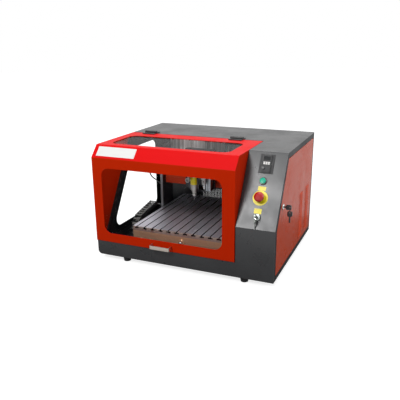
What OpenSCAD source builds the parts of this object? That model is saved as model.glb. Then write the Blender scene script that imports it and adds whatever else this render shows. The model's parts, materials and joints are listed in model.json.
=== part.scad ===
// Circuit board cutting machine: a moving gantry mill in a sheet metal cabinet.
// The machine is drawn in its own frame: x from the middle of the cabinet, y back from the
// front sheet, z up from the underside of the sheet metal body. stand() moves it onto its feet.

/* [Cabinet] */
// Width of the cabinet
body_w = 800; // [780:1:1000]
// Depth of the cabinet
body_d = 650; // [650:1:800]
// Height of the sheet metal body, without its feet
body_h = 485; // [475:1:620]
// Thickness of the cabinet's sheet metal
sheet_t = 2; // [1.5:0.1:3]
// Radius of the rounded lower left edge
edge_r = 18; // [8:1:30]
// Height of the rubber feet
foot_h = 25; // [12:1:40]
// Height of the front apron below the hood
apron_h = 63; // [50:1:80]
// Width of the control tower on the right
tower_w = 158; // [140:1:180]
// Height of the lower edge of the control panel
panel_low_z = 213; // [180:1:260]
// How far the control panel leans back at its top
panel_run = 155; // [120:1:200]
// Width of the rim around the service opening
rim_w = 24; // [16:1:30]
// Corner radius of every window
window_r = 35; // [10:1:45]

/* [Hood] */
// How far the hood's front stands proud of the apron
hood_proud = 5; // [3:1:12]
// Height of the bevel along the hood's top front edge
bevel_h = 48; // [30:1:70]
// Depth of the bevel
bevel_run = 45; // [30:1:70]
// Depth of the hood's top, back to its hinges
hood_back_y = 350; // [330:1:380]
// Gap between the hood and the cabinet
hood_gap = 2; // [1:0.1:4]
// Where the hood's side wall ends at the bottom
side_foot_y = 59; // [40:1:90]
// Where the hood's side wall ends at the top
side_head_y = 311; // [260:1:330]
// Thickness of the clear panes
pane_t = 3; // [2:0.5:5]
// How far a pane laps over the edge of its window
pane_lap = 12; // [8:1:20]
// Length of the pull handle
handle_w = 92; // [70:1:140]
// Height of the pull handle's flat bar
handle_h = 15; // [10:1:24]
// How far the pull handle stands out
handle_out = 30; // [22:1:40]
// Thickness of the pull handle's flat bar
handle_t = 4; // [3:0.5:6]

/* [Table] */
// Number of T-slots in the table
slot_count = 12; // [8:1:12]
// Distance between T-slots
slot_pitch = 38.5; // [30:0.5:38.5]
// Width of a T-slot's mouth
slot_w = 5.5; // [4.5:0.1:8]
// Width of the chamber under a T-slot's mouth
chamber_w = 20; // [11:0.5:20]
// Height of the chamber
chamber_h = 6; // [4.5:0.5:7]
// Thickness of the lips over the chamber
slot_lip = 4; // [3:0.5:6]
// Thickness of the table
table_t = 20; // [18:1:26]
// Height of the table's top
table_z = 128; // [124:1:140]
// Distance from the front sheet to the table
bed_front_y = 66; // [60:1:80]
// Length of the table
bed_len = 522; // [500:1:522]
// Thickness of the end plates and the gantry's side plates
plate_t = 12; // [10:1:15]

/* [Gantry] */
// Distance from the front sheet to the gantry's side plates
gantry_y = 362; // [340:1:380]
// Depth of the gantry's side plates
gantry_d = 108; // [100:1:120]
// Height of the top of the gantry's side plates
gantry_top = 425; // [415:1:435]
// Diameter of the X and Y guide rods
rod_d = 16; // [12:1:20]
// Diameter of the X and Y lead screws
screw_d = 16; // [12:1:16]
// Height of the lower X guide rod
rod_low_z = 300; // [290:1:305]
// Distance between the two X guide rods
rod_rise = 100; // [90:1:105]
// Height of the cross beam
beam_h = 60; // [50:1:80]
// Radial running clearance of every rod, screw and pin
run_fit = 0.05; // [0.02:0.01:0.1]

/* [Head] */
// Width of the head's carriage plate
head_w = 148; // [130:1:160]
// Distance between the two Z guide rods
z_rod_gap = 60; // [56:1:64]
// Diameter of the Z guide rods
z_rod_d = 14; // [10:1:16]
// Diameter of the spindle's body
spindle_d = 36; // [32:1:40]
// Height of the cutter's tip
tip_z = 206; // [204:1:212]
// Diameter of the cutter's shank
cutter_d = 3.2; // [2:0.1:6]

/* [Controls] */
// Diameter of the panel holes of the round controls
control_d = 22; // [16:1:24]
// Diameter of the emergency stop's yellow disc
stop_disc_d = 60; // [50:1:70]
// Diameter of the emergency stop's mushroom
stop_head_d = 40; // [35:1:46]
// Width of the drive unit's face
drive_w = 35; // [30:1:40]
// Length of the drive unit's face
drive_l = 70; // [60:1:75]

/* [Hidden] */
$fn = 64;
eps = 1; // overshoot of cutting tools

// ---- the cabinet's main planes ----
left_x = -body_w / 2;
right_x = body_w / 2;
tower_x = right_x - tower_w; // left face of the control tower
inner_top = body_h - sheet_t;
inner_back = body_d - sheet_t;
panel_angle = atan2(body_h - panel_low_z, panel_run);
// side view of the control tower, counter-clockwise
tower_side = [[0, 0], [body_d, 0], [body_d, body_h], [panel_run, body_h], [0, panel_low_z]];

// ---- the hood's main planes ----
hood_right_x = tower_x - hood_gap;
hood_low_z = apron_h + 1;
front_y = -hood_proud;
pin_lift = 6.5; // height of the hinge pins over the roof
hinge_axis = [0, hood_back_y + hood_gap, body_h + pin_lift];
leaf_t = 4; // thickness of a hinge leaf
leaf_w = 60; // width of a hinge
hinge_x = [left_x + 95, tower_x - 121]; // middle of each hinge
// sheet left round the hood's windows: to the left, to the right, then below and above, or front and back
front_rims = [44, 52, 42, 42];
top_rims = [44, 56, 36, 77];
front_window = [left_x + front_rims[0], hood_right_x - front_rims[1], hood_low_z + front_rims[2],
    body_h - bevel_h - front_rims[3]];
top_window = [left_x + top_rims[0], hood_right_x - top_rims[1], bevel_run - hood_proud + top_rims[2],
    hood_back_y - top_rims[3]];
handle_x = -79; // middle of the handle
handle_z = hood_low_z + 20;

// ---- the table ----
bed_w = slot_count * slot_pitch;
bed_mid_x = (left_x + tower_x) / 2 + 54;
bed_left = bed_mid_x - bed_w / 2;
bed_right = bed_mid_x + bed_w / 2;
bed_back_y = bed_front_y + bed_len;
table_under = table_z - table_t;
rod_x = [bed_left + 35, bed_right - 35]; // the two Y guide rods
y_rod_z = 70;
y_screw_z = 80;
journal_d = 12;
shaft_d = 8; // motor shaft
motor_w = 42;
motor_l = 48;

// ---- the gantry ----
side_gap = 2; // between the table and the gantry's side plates
gantry_left = bed_left - side_gap; // inner face of the left side plate
gantry_right = bed_right + side_gap;
gantry_low = 28;
gantry_back = gantry_y + gantry_d;
x_rod_y = gantry_y + 18;
x_screw_z = rod_low_z + rod_rise / 2;
beam_y = x_rod_y + rod_d / 2 + 9;
beam_low = rod_low_z - beam_h;
back_plate_top = body_h - 35;
box_x = bed_right - 164; // left side of the gantry's electrical box
box_y = beam_y + 8;

// ---- the head ----
head_x = bed_mid_x - 32;
carriage_y = x_rod_y - 28; // front face of the carriage plate
carriage_t = 12;
z_rod_y = carriage_y - motor_w / 2 - 1;
z_low = rod_low_z - 63; // underside of the head's lower end plate
z_plate_t = 10;
z_top = rod_low_z + 72; // underside of the head's upper end plate
slide_z = rod_low_z + 26;
slide_h = 32;
z_screw_d = 10;
z_journal_d = 8;
spindle_y = z_rod_y - 42;
spindle_low = rod_low_z - 61;
spindle_top = rod_low_z + 88;
clamp_low = rod_low_z + 18;
clamp_h = 34;
nut_d = 22;
nut_h = 14;
rotor_d = 10;

// ---- the controls, measured up the slope from the panel's lower edge ----
control_x = tower_x + 78;
switch_u = 48;
stop_u = 124;
start_u = 192;
drive_u = 262;
drive_x = control_x + 3;
drive_plate = [58, 78, 1.5];
knob_place = [drive_x - 9.5, drive_u - 19];
knob_d = 9;
panel_fit = 0.15; // radial gap of a control in its panel hole

// ---- the service panel ----
// sheet left round the service opening: below, behind, above, along the slope and in front
service_rims = [20, 8, rim_w, rim_w, rim_w];
service_gap = 2;
service_pivot = [right_x - 4, body_d - service_rims[1] - 6];
knuckle_r = 4;
lock_y = rim_w + 78;
lock_z = 283;
lock_d = 19;
lip_t = 3; // thickness of the lip that the service panel closes against
cam = [14, 30, 2.5]; // width, reach and thickness of the lock's cam
cam_in = sheet_t + lip_t + 0.5; // distance of the cam from the panel's outer face
key_t = 2; // thickness of a key's blade
bow_t = 5; // thickness of a key's plastic head
bow_hole = 5.5; // from the top of a key's head to the middle of its hole
lock_bow_low = 12; // from the door to the service key's head
lock_bow = [20, 22]; // width and height of the service keys' heads
lock_hook = [right_x + lock_bow_low + lock_bow[1] - bow_hole, lock_y, lock_z];

// ---- the whole machine's box, which sets the origin ----
box_left = left_x;
box_right = lock_hook[0] + lock_bow[0] / 2;
box_front = front_y - handle_out;
box_back = body_d + 3;

// Puts the machine on its feet, with the origin under the middle of its box
module stand() {
    translate([-(box_left + box_right) / 2, -(box_front + box_back) / 2, foot_h]) children();
}

// ---- outlines ----
function dir2(a, b) = (b - a) / norm(b - a);
function left_of(d) = [-d[1], d[0]];
function turn(da, db) = atan2(da[0] * db[1] - da[1] * db[0], da * db);

// Arc points that round corner p, reached along da and left along db
function bend(p, da, db, r, n = 8) =
    let (a = turn(da, db), s = sign(a))
    r == 0 || s == 0 ? [p] :
    let (c = p - da * r * tan(abs(a) / 2) + s * r * left_of(da), start = -s * left_of(da))
    [for (k = [0 : n]) c + r * [start[0] * cos(a * k / n) - start[1] * sin(a * k / n),
                                start[0] * sin(a * k / n) + start[1] * cos(a * k / n)]];

// Closed outline with rounded corners; r is one radius or a list of them
function rounded(pts, r, n = 8) = [for (i = [0 : len(pts) - 1])
    let (a = pts[(i + len(pts) - 1) % len(pts)], b = pts[i], c = pts[(i + 1) % len(pts)])
    each bend(b, dir2(a, b), dir2(b, c), is_list(r) ? r[i] : r, n)];

// Corner between two lines moved to the left by u and v
function moved_corner(p, da, db, u, v) =
    let (na = left_of(da), nb = left_of(db), det = na[0] * nb[1] - na[1] * nb[0])
    p + [u * nb[1] - v * na[1], v * na[0] - u * nb[0]] / det;

// Counter-clockwise outline moved inwards, by d or by one distance per side
function inset(pts, d) = [for (i = [0 : len(pts) - 1])
    let (m = len(pts), a = pts[(i + m - 1) % m], b = pts[i], c = pts[(i + 1) % m])
    moved_corner(b, dir2(a, b), dir2(b, c), is_list(d) ? d[(i + m - 1) % m] : d, is_list(d) ? d[i] : d)];

// Open line moved to its left by t
function shifted(pts, t) = [for (i = [0 : len(pts) - 1])
    i == 0 ? pts[0] + t * left_of(dir2(pts[0], pts[1])) :
    i == len(pts) - 1 ? pts[i] + t * left_of(dir2(pts[i - 1], pts[i])) :
    moved_corner(pts[i], dir2(pts[i - 1], pts[i]), dir2(pts[i], pts[i + 1]), t, t)];

// Open line with its inner corners rounded to radius r on one side, t more or less on the other
function rolled(pts, r, t) = [for (i = [0 : len(pts) - 1])
    each (i == 0 || i == len(pts) - 1 ? [pts[i]] :
        let (da = dir2(pts[i - 1], pts[i]), db = dir2(pts[i], pts[i + 1]))
        bend(pts[i], da, db, r - sign(turn(da, db)) * t, 6))];

// Bent sheet: thickness t to the left of the line, bend radius r on the line
module bent_sheet(pts, r, t) {
    inner = rolled(shifted(pts, t), r, t);
    polygon(concat(rolled(pts, r, 0), [for (i = [len(inner) - 1 : -1 : 0]) inner[i]]));
}

function rect(x0, x1, y0, y1) = [[x0, y0], [x1, y0], [x1, y1], [x0, y1]];

// ---- placing ----
// 2D (y, z) drawn along x
module along_x(x0, x1) {
    translate([x0, 0, 0]) rotate([90, 0, 90]) linear_extrude(x1 - x0) children();
}
// 2D (x, z) drawn along y
module along_y(y0, y1) {
    translate([0, y1, 0]) rotate([90, 0, 0]) linear_extrude(y1 - y0) children();
}
// 2D (x, y) drawn along z
module along_z(z0, z1) {
    translate([0, 0, z0]) linear_extrude(z1 - z0) children();
}
module block(x0, x1, y0, y1, z0, z1) {
    translate([x0, y0, z0]) cube([x1 - x0, y1 - y0, z1 - z0]);
}
module toward_x() { rotate([0, 90, 0]) children(); }
module toward_y() { rotate([-90, 0, 0]) children(); }
// Point on the control panel: x, distance u up the slope; z is then the outward normal
module on_panel(x, u) {
    translate([x, u * cos(panel_angle), panel_low_z + u * sin(panel_angle)])
        rotate([panel_angle, 0, 0]) children();
}

// Turned shaft along z, from a list of [length, diameter]
function start_of(steps, i) = i == 0 ? 0 : steps[i - 1][0] + start_of(steps, i - 1);
module shaft(steps) {
    rotate_extrude() polygon([[0, 0],
        for (i = [0 : len(steps) - 1]) each [[steps[i][1] / 2, start_of(steps, i)],
                                             [steps[i][1] / 2, start_of(steps, i + 1)]],
        [0, start_of(steps, len(steps))]]);
}
module ring(outer_d, inner_d, h) {
    difference() {
        cylinder(d = outer_d, h = h);
        translate([0, 0, -eps]) cylinder(d = inner_d, h = h + 2 * eps);
    }
}

// ==== cabinet ====
module floor_pan() {
    color("dimgray") along_y(sheet_t, inner_back)
        bent_sheet([[left_x, edge_r + 22], [left_x, 0], [right_x - sheet_t, 0]], edge_r, sheet_t);
}

bend_r = 4; // outer radius of the cabinet's folds
panel_fold = 8; // length of the control panel's fold onto the roof's plane
panel_line = [[panel_run + panel_fold, body_h], [panel_run, body_h], [0, panel_low_z], [0, 0]];
// Side view of what the control tower's folded sheets enclose
tower_inside = rounded(inset(tower_side, sheet_t), [0, 0, 0, bend_r - sheet_t, bend_r - sheet_t], 6);
module panel_holes() {
    for (u = [switch_u, stop_u, start_u])
        on_panel(control_x, u) translate([0, 0, -sheet_t - eps])
            cylinder(d = control_d, h = sheet_t + 2 * eps);
    on_panel(drive_x, drive_u) translate([0, 0, -sheet_t / 2])
        cube([drive_w + 1, drive_l + 1, sheet_t + 2 * eps], center = true);
}
module front_fascia() {
    sill_d = 18; // depth of the sill folded back along the apron's top
    color("dimgray") {
        along_y(0, sheet_t) polygon(rounded(rect(left_x, tower_x, 0, apron_h), [edge_r, 0, 0, 0]));
        block(left_x + sheet_t, hood_right_x, sheet_t, sill_d, apron_h - sheet_t, apron_h);
        difference() {
            along_x(tower_x, right_x) bent_sheet(panel_line, bend_r, sheet_t);
            panel_holes();
        }
    }
}

module roof() {
    lip_h = 18; // stiffening lip folded down behind the hood
    roof_y = hood_back_y + 5;
    fold_y = panel_run + panel_fold;
    color("dimgray") {
        along_z(inner_top, body_h) polygon([[left_x, roof_y], [tower_x, roof_y], [tower_x, fold_y],
            [right_x, fold_y], [right_x, body_d], [left_x, body_d]]);
        block(left_x + sheet_t, tower_x, roof_y, roof_y + sheet_t, inner_top - lip_h, inner_top);
    }
}

// The cabinet's left wall ends along the hood's slanted side wall
function side_line(z) = side_foot_y + (side_head_y - side_foot_y) * (z - apron_h) / (body_h - apron_h);
left_rims = [67, 71, 89, 72]; // sheet left in front of, below, behind and above the left window
left_window = [[side_line(left_rims[1]) + left_rims[0], left_rims[1]],
    [body_d - left_rims[2], left_rims[1]],
    [body_d - left_rims[2], body_h - left_rims[3]],
    [side_line(body_h - left_rims[3]) + left_rims[0], body_h - left_rims[3]]];
module left_wall() {
    lip_w = 12; // width of the lip along the slanted edge
    color("dimgray") {
        along_x(left_x, left_x + sheet_t) difference() {
            polygon([[sheet_t, edge_r + 22], [inner_back, edge_r + 22], [inner_back, inner_top],
                [side_line(inner_top) + hood_gap, inner_top], [side_line(apron_h) + hood_gap, apron_h],
                [sheet_t, apron_h]]);
            polygon(rounded(left_window, window_r));
        }
        along_x(left_x + sheet_t, left_x + sheet_t + lip_w)
            polygon([for (p = [[0, apron_h], [sheet_t, apron_h], [sheet_t, inner_top], [0, inner_top]])
                [side_line(p[1]) + hood_gap + p[0], p[1]]]);
    }
}
module left_window_pane() {
    color([0.8, 0.9, 0.95, 0.4]) along_x(left_x + sheet_t, left_x + sheet_t + pane_t)
        polygon(rounded(inset(left_window, -pane_lap), window_r));
}

service_hole = inset(tower_side, service_rims);
module right_wall() {
    pin_r = 2;
    ear = [8, 10, 4]; // bracket that holds a hinge pin
    lip_clear = 0.3;
    color("dimgray") {
        along_x(right_x - sheet_t, right_x) difference() {
            polygon(concat([[sheet_t, 0], [inner_back, 0]],
                [for (p = tower_inside) if (p[1] > sheet_t) p]));
            polygon(rounded(service_hole, [5, 0, 0, 5, 5]));
        }
        // stop lip behind the front and upper edges of the service opening
        for (lip = [[0, 0], [lip_clear, 10]])
            along_x(right_x - sheet_t - lip_t, right_x - sheet_t - lip[0]) difference() {
                polygon(inset(tower_side, [for (k = [0 : 4]) k == 1 ? 42 : rim_w - 10]));
                polygon(inset(tower_side, [for (k = [0 : 4]) k == 1 ? 41 : rim_w + lip[1]]));
            }
        // hinge pins in ears at the top and bottom of the rear edge
        for (s = [-1, 1]) {
            z = s < 0 ? service_rims[0] : body_h - rim_w;
            translate([service_pivot[0], service_pivot[1], z]) {
                translate([0, 0, s < 0 ? 0 : -18]) cylinder(r = pin_r, h = 18);
                translate([-ear[0] + 2, -ear[1] / 2, s < 0 ? -ear[2] : 0])
                    cube([ear[0], ear[1] * 1.5, ear[2]]);
            }
        }
    }
}

// Vertical slots of the chamber's vent
vent_pitch = 8.5;
vent_w = 2.4;
vent_x = [left_x + 232, left_x + 480];
vent_z = [105, 157];
inlet_at = [tower_x + 78, 60];
inlet_size = [27, 20];
usb_at = [tower_x + 78, 115];
usb_size = [12, 11];
module rear_wall() {
    color("dimgray") along_y(inner_back, body_d) difference() {
        polygon(rounded(rect(left_x, right_x, 0, inner_top), [edge_r, 0, 0, 0]));
        for (x = [vent_x[0] : vent_pitch : vent_x[1]])
            translate([x, vent_z[0]]) square([vent_w, vent_z[1] - vent_z[0]]);
        translate(inlet_at) square(inlet_size, center = true);
        translate(usb_at) square(usb_size, center = true);
    }
}

module divider_wall() {
    color("dimgray") along_x(tower_x, tower_x + sheet_t) polygon(tower_inside);
}

module feet() {
    inset_x = 128;
    inset_y = 32;
    color("#2a2a2c") for (x = [left_x + inset_x, right_x - inset_x], y = [inset_y, body_d - inset_y])
        translate([x, y, -foot_h]) difference() {
            cylinder(r1 = 15, r2 = 20, h = foot_h);
            translate([0, 0, -eps]) cylinder(r = 6, h = 8 + eps);
        }
}

// ==== table ====
module bed_end_plates() {
    color("silver") {
        difference() {
            along_y(bed_front_y, bed_front_y + plate_t)
                polygon(rounded(rect(bed_left, bed_right, sheet_t, table_under), [6, 6, 0, 0]));
            translate([bed_mid_x, bed_front_y - eps, y_screw_z])
                toward_y() cylinder(d = journal_d + 2 * run_fit, h = plate_t + 2 * eps);
        }
        difference() {
            along_y(bed_back_y - plate_t, bed_back_y)
                polygon(rounded(rect(bed_left, bed_right, sheet_t, table_under), [6, 6, 0, 0]));
            translate([bed_mid_x, bed_back_y - plate_t - eps, y_screw_z])
                toward_y() cylinder(d = journal_d + 6, h = plate_t + 2 * eps);
        }
        // flanged bearing of the Y lead screw
        translate([bed_mid_x, bed_front_y - 6, y_screw_z])
            toward_y() ring(28, journal_d + 2 * run_fit, 6);
    }
}

// One slat of the table: its flanks are half T-slots, left and right as told
module slat(x0, x1, cut_left, cut_right) {
    mouth = slot_w / 2;
    room = chamber_w / 2;
    web = table_t - chamber_h - slot_lip; // thickness under the chamber
    a = cut_left ? 1 : 0;
    b = cut_right ? 1 : 0;
    gap = 0.1; // half the gap between neighbouring slats
    along_y(bed_front_y, bed_back_y) translate([0, table_under]) polygon([
        [x0 + a * gap, 0], [x1 - b * gap, 0],
        each b == 0 ? [[x1, table_t]] : [[x1 - gap, web], [x1 - room, web], [x1 - room, web + chamber_h],
            [x1 - mouth, web + chamber_h], [x1 - mouth, table_t]],
        each a == 0 ? [[x0, table_t]] : [[x0 + mouth, table_t], [x0 + mouth, web + chamber_h],
            [x0 + room, web + chamber_h], [x0 + room, web], [x0 + gap, web]]]);
}
module table_slats() {
    color("lightsteelblue") for (i = [0 : slot_count])
        slat(i == 0 ? bed_left : bed_left + (i - 0.5) * slot_pitch,
             i == slot_count ? bed_right : bed_left + (i + 0.5) * slot_pitch, i > 0, i < slot_count);
}

module y_guide_rods() {
    color("gainsboro") for (x = rod_x)
        translate([x, bed_front_y + plate_t, y_rod_z])
            toward_y() cylinder(d = rod_d, h = bed_len - 2 * plate_t);
}

// Stepper motor along z: flange at z = 0, shaft hole in its face
module stepper(l) {
    half = motor_w / 2;
    difference() {
        along_z(0, l) polygon(rounded(rect(-half, half, -half, half), 5, 3));
        translate([0, 0, -eps]) cylinder(d = shaft_d + 2 * run_fit, h = 14 + eps);
    }
}
module y_motor() {
    color("#303034") translate([bed_mid_x, bed_back_y, y_screw_z]) toward_y() stepper(motor_l);
}
module y_screw() {
    coupler_l = 26;
    thread_l = bed_len - 2 * plate_t - coupler_l - 2;
    color("silver") translate([bed_mid_x, bed_front_y - 10, y_screw_z]) toward_y()
        shaft([[10 + plate_t + 1, journal_d], [thread_l, screw_d], [coupler_l, 24],
            [plate_t + 12, shaft_d]]);
}

// ---- drag chain beside the table: along the floor, round the bend, back to the gantry ----
chain_link = [36, 20, 22]; // width, pitch and height of a link
chain_x = gantry_left - 46;
chain_low = sheet_t + chain_link[2] / 2 + 0.3;
chain_high = 122; // middle of the upper run where it leaves the bend
chain_r = (chain_high - chain_low) / 2;
chain_bend_y = gantry_y - 138;
chain_rise = 9.5; // slope of the upper run, in degrees
chain_arc = 180 - chain_rise;
chain_low_count = 4;
chain_arc_count = floor(PI * chain_r * chain_arc / 180 / chain_link[1]);
chain_top_count = 7;
chain_step = chain_arc / chain_arc_count; // turn from link to link in the bend
chain_gap = 0.3; // between neighbouring links in the bend
chain_clear = 0.3; // between the chain's end bracket and the side plate
// Link along y, with its flanks cut back so that it can follow the bend
module chain_piece() {
    wall = 3;
    half = chain_link[1] / 2;
    rim = half - 2.2; // half length of the link's upper and lower edges
    high = chain_link[2] / 2;
    flank = 2.5; // half height of the link's full length
    outer = (chain_r - flank) * tan(chain_step / 2) - chain_gap / 2;
    side = [[-rim, -high], [rim, -high], [outer, -flank], [outer, flank], [rim, high], [-rim, high],
        [-outer, flank], [-outer, -flank]];
    translate([0, half, 0]) difference() {
        along_x(-chain_link[0] / 2, chain_link[0] / 2) polygon(side);
        cube([chain_link[0] - 2 * wall, chain_link[1], chain_link[2] - 2 * wall], center = true);
    }
}
module drag_chain() {
    mid_z = chain_low + chain_r;
    color("#26262a") translate([chain_x, 0, 0]) {
        for (i = [0 : chain_low_count - 1])
            translate([0, chain_bend_y + i * chain_link[1], chain_low]) chain_piece();
        for (i = [0 : chain_arc_count - 1])
            translate([0, chain_bend_y, mid_z]) rotate([-(i + 0.5) * chain_step, 0, 0])
                translate([0, -chain_link[1] / 2, -chain_r]) chain_piece();
        translate([0, chain_bend_y, mid_z]) rotate([chain_rise, 0, 0]) {
            for (i = [0 : chain_top_count - 1])
                translate([0, i * chain_link[1], chain_r]) chain_piece();
            translate([-chain_link[0] / 2, chain_top_count * chain_link[1] + 1,
                chain_r - chain_link[2] / 2])
                cube([gantry_left - plate_t - chain_clear - chain_x + chain_link[0] / 2, 12, 3]);
        }
    }
}

// ==== controls ====
module drive_unit() {
    proud = 7;
    ear_w = 48;
    color("#4a4a4e") on_panel(drive_x, drive_u) difference() {
        union() {
            translate([0, 0, drive_plate[2] / 2]) cube(drive_plate, center = true);
            translate([-drive_w / 2, -drive_l / 2, -42]) cube([drive_w, drive_l, 42 + proud]);
            translate([-ear_w / 2, -4, 0]) cube([ear_w, 8, 4]);
        }
        // recessed display and membrane
        translate([-drive_w / 2 + 4, drive_l / 2 - 21, proud - 1]) cube([drive_w - 8, 15, 1 + eps]);
        // seat of the speed knob
        translate([knob_place[0] - drive_x, knob_place[1] - drive_u, proud - 6])
            cylinder(d = 5 + 2 * run_fit, h = 6 + eps);
    }
}
module drive_knob() {
    color("#1c1c1e") on_panel(knob_place[0], knob_place[1]) translate([0, 0, 2]) difference() {
        shaft([[5.3, 5], [6, knob_d]]);
        translate([-0.5, 1.5, 10.3]) cube([1, knob_d, 2]);
    }
}

// Outline of a threaded neck through the panel, with its nut behind, from depth h up to the face
function neck(h) = let (r = control_d / 2 - panel_fit, nut = [control_d / 2 + 4, sheet_t + 4])
    [[r, -h], [r, -nut[1]], [nut[0], -nut[1]], [nut[0], -sheet_t], [r, -sheet_t], [r, 0]];
module start_bezel() {
    color("#202022") on_panel(control_x, start_u) rotate_extrude() polygon([
        [8.6, -20], each neck(20), [15.5, 0], [15.5, 3],
        [13.8, 5], [12.2, 5], [12.2, 1], [8.6, 1]]);
}
module start_button() {
    color("#18b890") on_panel(control_x, start_u) rotate_extrude() polygon([
        [0, -18], [8.5, -18], [8.5, 4.2], [11.8, 4.2], [11.8, 9], [11, 9.8], [6, 10.4], [0, 10.6]]);
}

module stop_disc() {
    color("#e8d020") on_panel(control_x, stop_u) rotate_extrude() polygon([
        [8.6, -22], each neck(22), [stop_disc_d / 2, 0],
        [stop_disc_d / 2, 1.5], [16, 1.5], [14.5, 12], [8.6, 12]]);
}
module stop_stem() {
    color("#303034") on_panel(control_x, stop_u) rotate_extrude() polygon([
        [4.1, -20], [8.5, -20], [8.5, 18], [4.1, 18]]);
}
module stop_head() {
    r = stop_head_d / 2;
    color("#d01818") on_panel(control_x, stop_u) rotate_extrude() polygon([
        [0, -18], [4, -18], [4, 18.3], [15, 18.3], [17, 17.2], [r - 0.6, 18.4], [r, 20.5], [r - 0.6, 25],
        [r - 4, 29], [r - 9, 31.4], [0, 33]]);
}

// Key in the x z plane: the blade's tip at the origin, pointing down, its head above
blade_w = 6;
module key_blade(l) {
    translate([-blade_w / 2, -key_t / 2, 0]) cube([blade_w, key_t, l]);
}
module key_bow(w, h) {
    difference() {
        along_y(-bow_t / 2, bow_t / 2) polygon(rounded(rect(-w / 2, w / 2, 0, h), 6));
        translate([0, -bow_t, h - bow_hole]) toward_y() cylinder(d = hole_d, h = 2 * bow_t);
    }
}
// Ring through a key's hole, in the y z plane, hanging from the origin
ring_r = 9;
wire_d = 1.6;
hole_d = 5;
hang = (hole_d - wire_d) / 2 - 0.5; // drop of the wire's middle below the hole's
module key_loop() {
    translate([0, 0, -ring_r]) toward_x() rotate_extrude()
        translate([ring_r, 0]) circle(d = wire_d, $fn = 16);
}

module switch_barrel() {
    color("silver") on_panel(control_x, switch_u) rotate_extrude() polygon([
        [7.55, -24], each neck(24), [15, 0], [15, 4],
        [13.5, 7], [9, 8], [7.55, 8]]);
}
switch_bow_low = 13; // distance from the panel to the underside of the key's head
switch_bow = [16, 20];
switch_reach = switch_bow_low + switch_bow[1] - bow_hole;
module switch_key() {
    color("silver") on_panel(control_x, switch_u) {
        translate([0, 0, -20]) shaft([[27.8, 15]]);
        translate([0, 0, 7.8]) rotate([0, 0, 90]) {
            key_blade(switch_bow_low - 7.8 + 0.5);
            translate([0, 0, switch_bow_low - 7.8]) key_bow(switch_bow[0], switch_bow[1]);
        }
    }
}
// Where a ring hangs in the switch key's hole
switch_hook = [control_x,
    switch_u * cos(panel_angle) - switch_reach * sin(panel_angle),
    panel_low_z + switch_u * sin(panel_angle) + switch_reach * cos(panel_angle)];
// Spare key on a ring, both hanging as low as the holes in the keys' heads let them
module hanging_key(bow_w, bow_h, blade_l) {
    translate([0, 0, -hang]) key_loop();
    translate([0, 0, -2 * ring_r - 2 * hang - bow_h + bow_hole]) {
        key_bow(bow_w, bow_h);
        translate([0, 0, 0.5 - blade_l]) key_blade(blade_l);
    }
}
switch_spare = [14, 17, 20]; // width and height of the spare key's head, length of its blade
module switch_spare_key() {
    // the blade's tip leans on the panel, 0.3 mm off, or hangs free where the panel is steeper
    tip = 2 * ring_r + 2 * hang + switch_spare[1] - bow_hole + switch_spare[2] - 0.5;
    side = blade_w / 2;
    lean = max(0, atan2(side * sin(panel_angle) + tip * cos(panel_angle),
        tip * sin(panel_angle) - side * cos(panel_angle)) - asin((switch_reach - 0.3) / norm([tip, side])));
    color("silver") translate(switch_hook) rotate([-lean, 0, 0]) rotate([0, 0, 90])
        hanging_key(switch_spare[0], switch_spare[1], switch_spare[2]);
}

// ==== rear sockets and inner boxes ====
module rear_sockets() {
    flange = 3;
    color("#202022") {
        translate([inlet_at[0], body_d, inlet_at[1]]) difference() {
            union() {
                translate([-25, 0, -15]) cube([50, flange, 30]);
                translate([-inlet_size[0] / 2 + 0.3, -30, -inlet_size[1] / 2 + 0.3])
                    cube([inlet_size[0] - 0.6, 30, inlet_size[1] - 0.6]);
            }
            translate([-11, -18, -7.5]) cube([22, 18 + flange + eps, 15]);
        }
        translate([usb_at[0], body_d, usb_at[1]]) difference() {
            union() {
                translate([-12, 0, -10]) cube([24, flange, 20]);
                translate([-usb_size[0] / 2 + 0.3, -16, -usb_size[1] / 2 + 0.3])
                    cube([usb_size[0] - 0.6, 16, usb_size[1] - 0.6]);
            }
            translate([-4.2, -10, -3.9]) cube([8.4, 10 + flange + eps, 7.8]);
        }
    }
}
module power_supply() {
    fins = 9;
    color("silver") difference() {
        block(tower_x + 22, tower_x + 120, 320, 520, sheet_t, 52);
        for (i = [1 : fins])
            block(tower_x + 40, tower_x + 102, 320 + i * 18, 326 + i * 18, 47, 53);
    }
}
module controller_board() {
    x0 = tower_x + sheet_t;
    color("#1f6b3a") {
        block(x0 + 8, x0 + 10, 200, 420, 140, 320);
        for (y = [208, 412], z = [148, 312]) translate([x0, y, z]) toward_x() cylinder(d = 6, h = 8);
        for (i = [0 : 3]) block(x0 + 10, x0 + 26, 215 + i * 48, 245 + i * 48, 180, 215);
        block(x0 + 10, x0 + 22, 215, 405, 290, 304);
    }
}

// ==== hood ====
hood_line = [[hood_back_y, body_h], [bevel_run - hood_proud, body_h], [front_y, body_h - bevel_h],
    [front_y, hood_low_z], [front_y + 14, hood_low_z]];
module window_hole(w) {
    polygon(rounded(rect(w[0], w[1], w[2], w[3]), window_r));
}
module hood_shell() {
    color("#c8201c") difference() {
        along_x(left_x, hood_right_x) bent_sheet(hood_line, bend_r, sheet_t);
        along_y(front_y - eps, front_y + 10) window_hole(front_window);
        along_z(inner_top - 10, body_h + eps) window_hole(top_window);
    }
}
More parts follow.
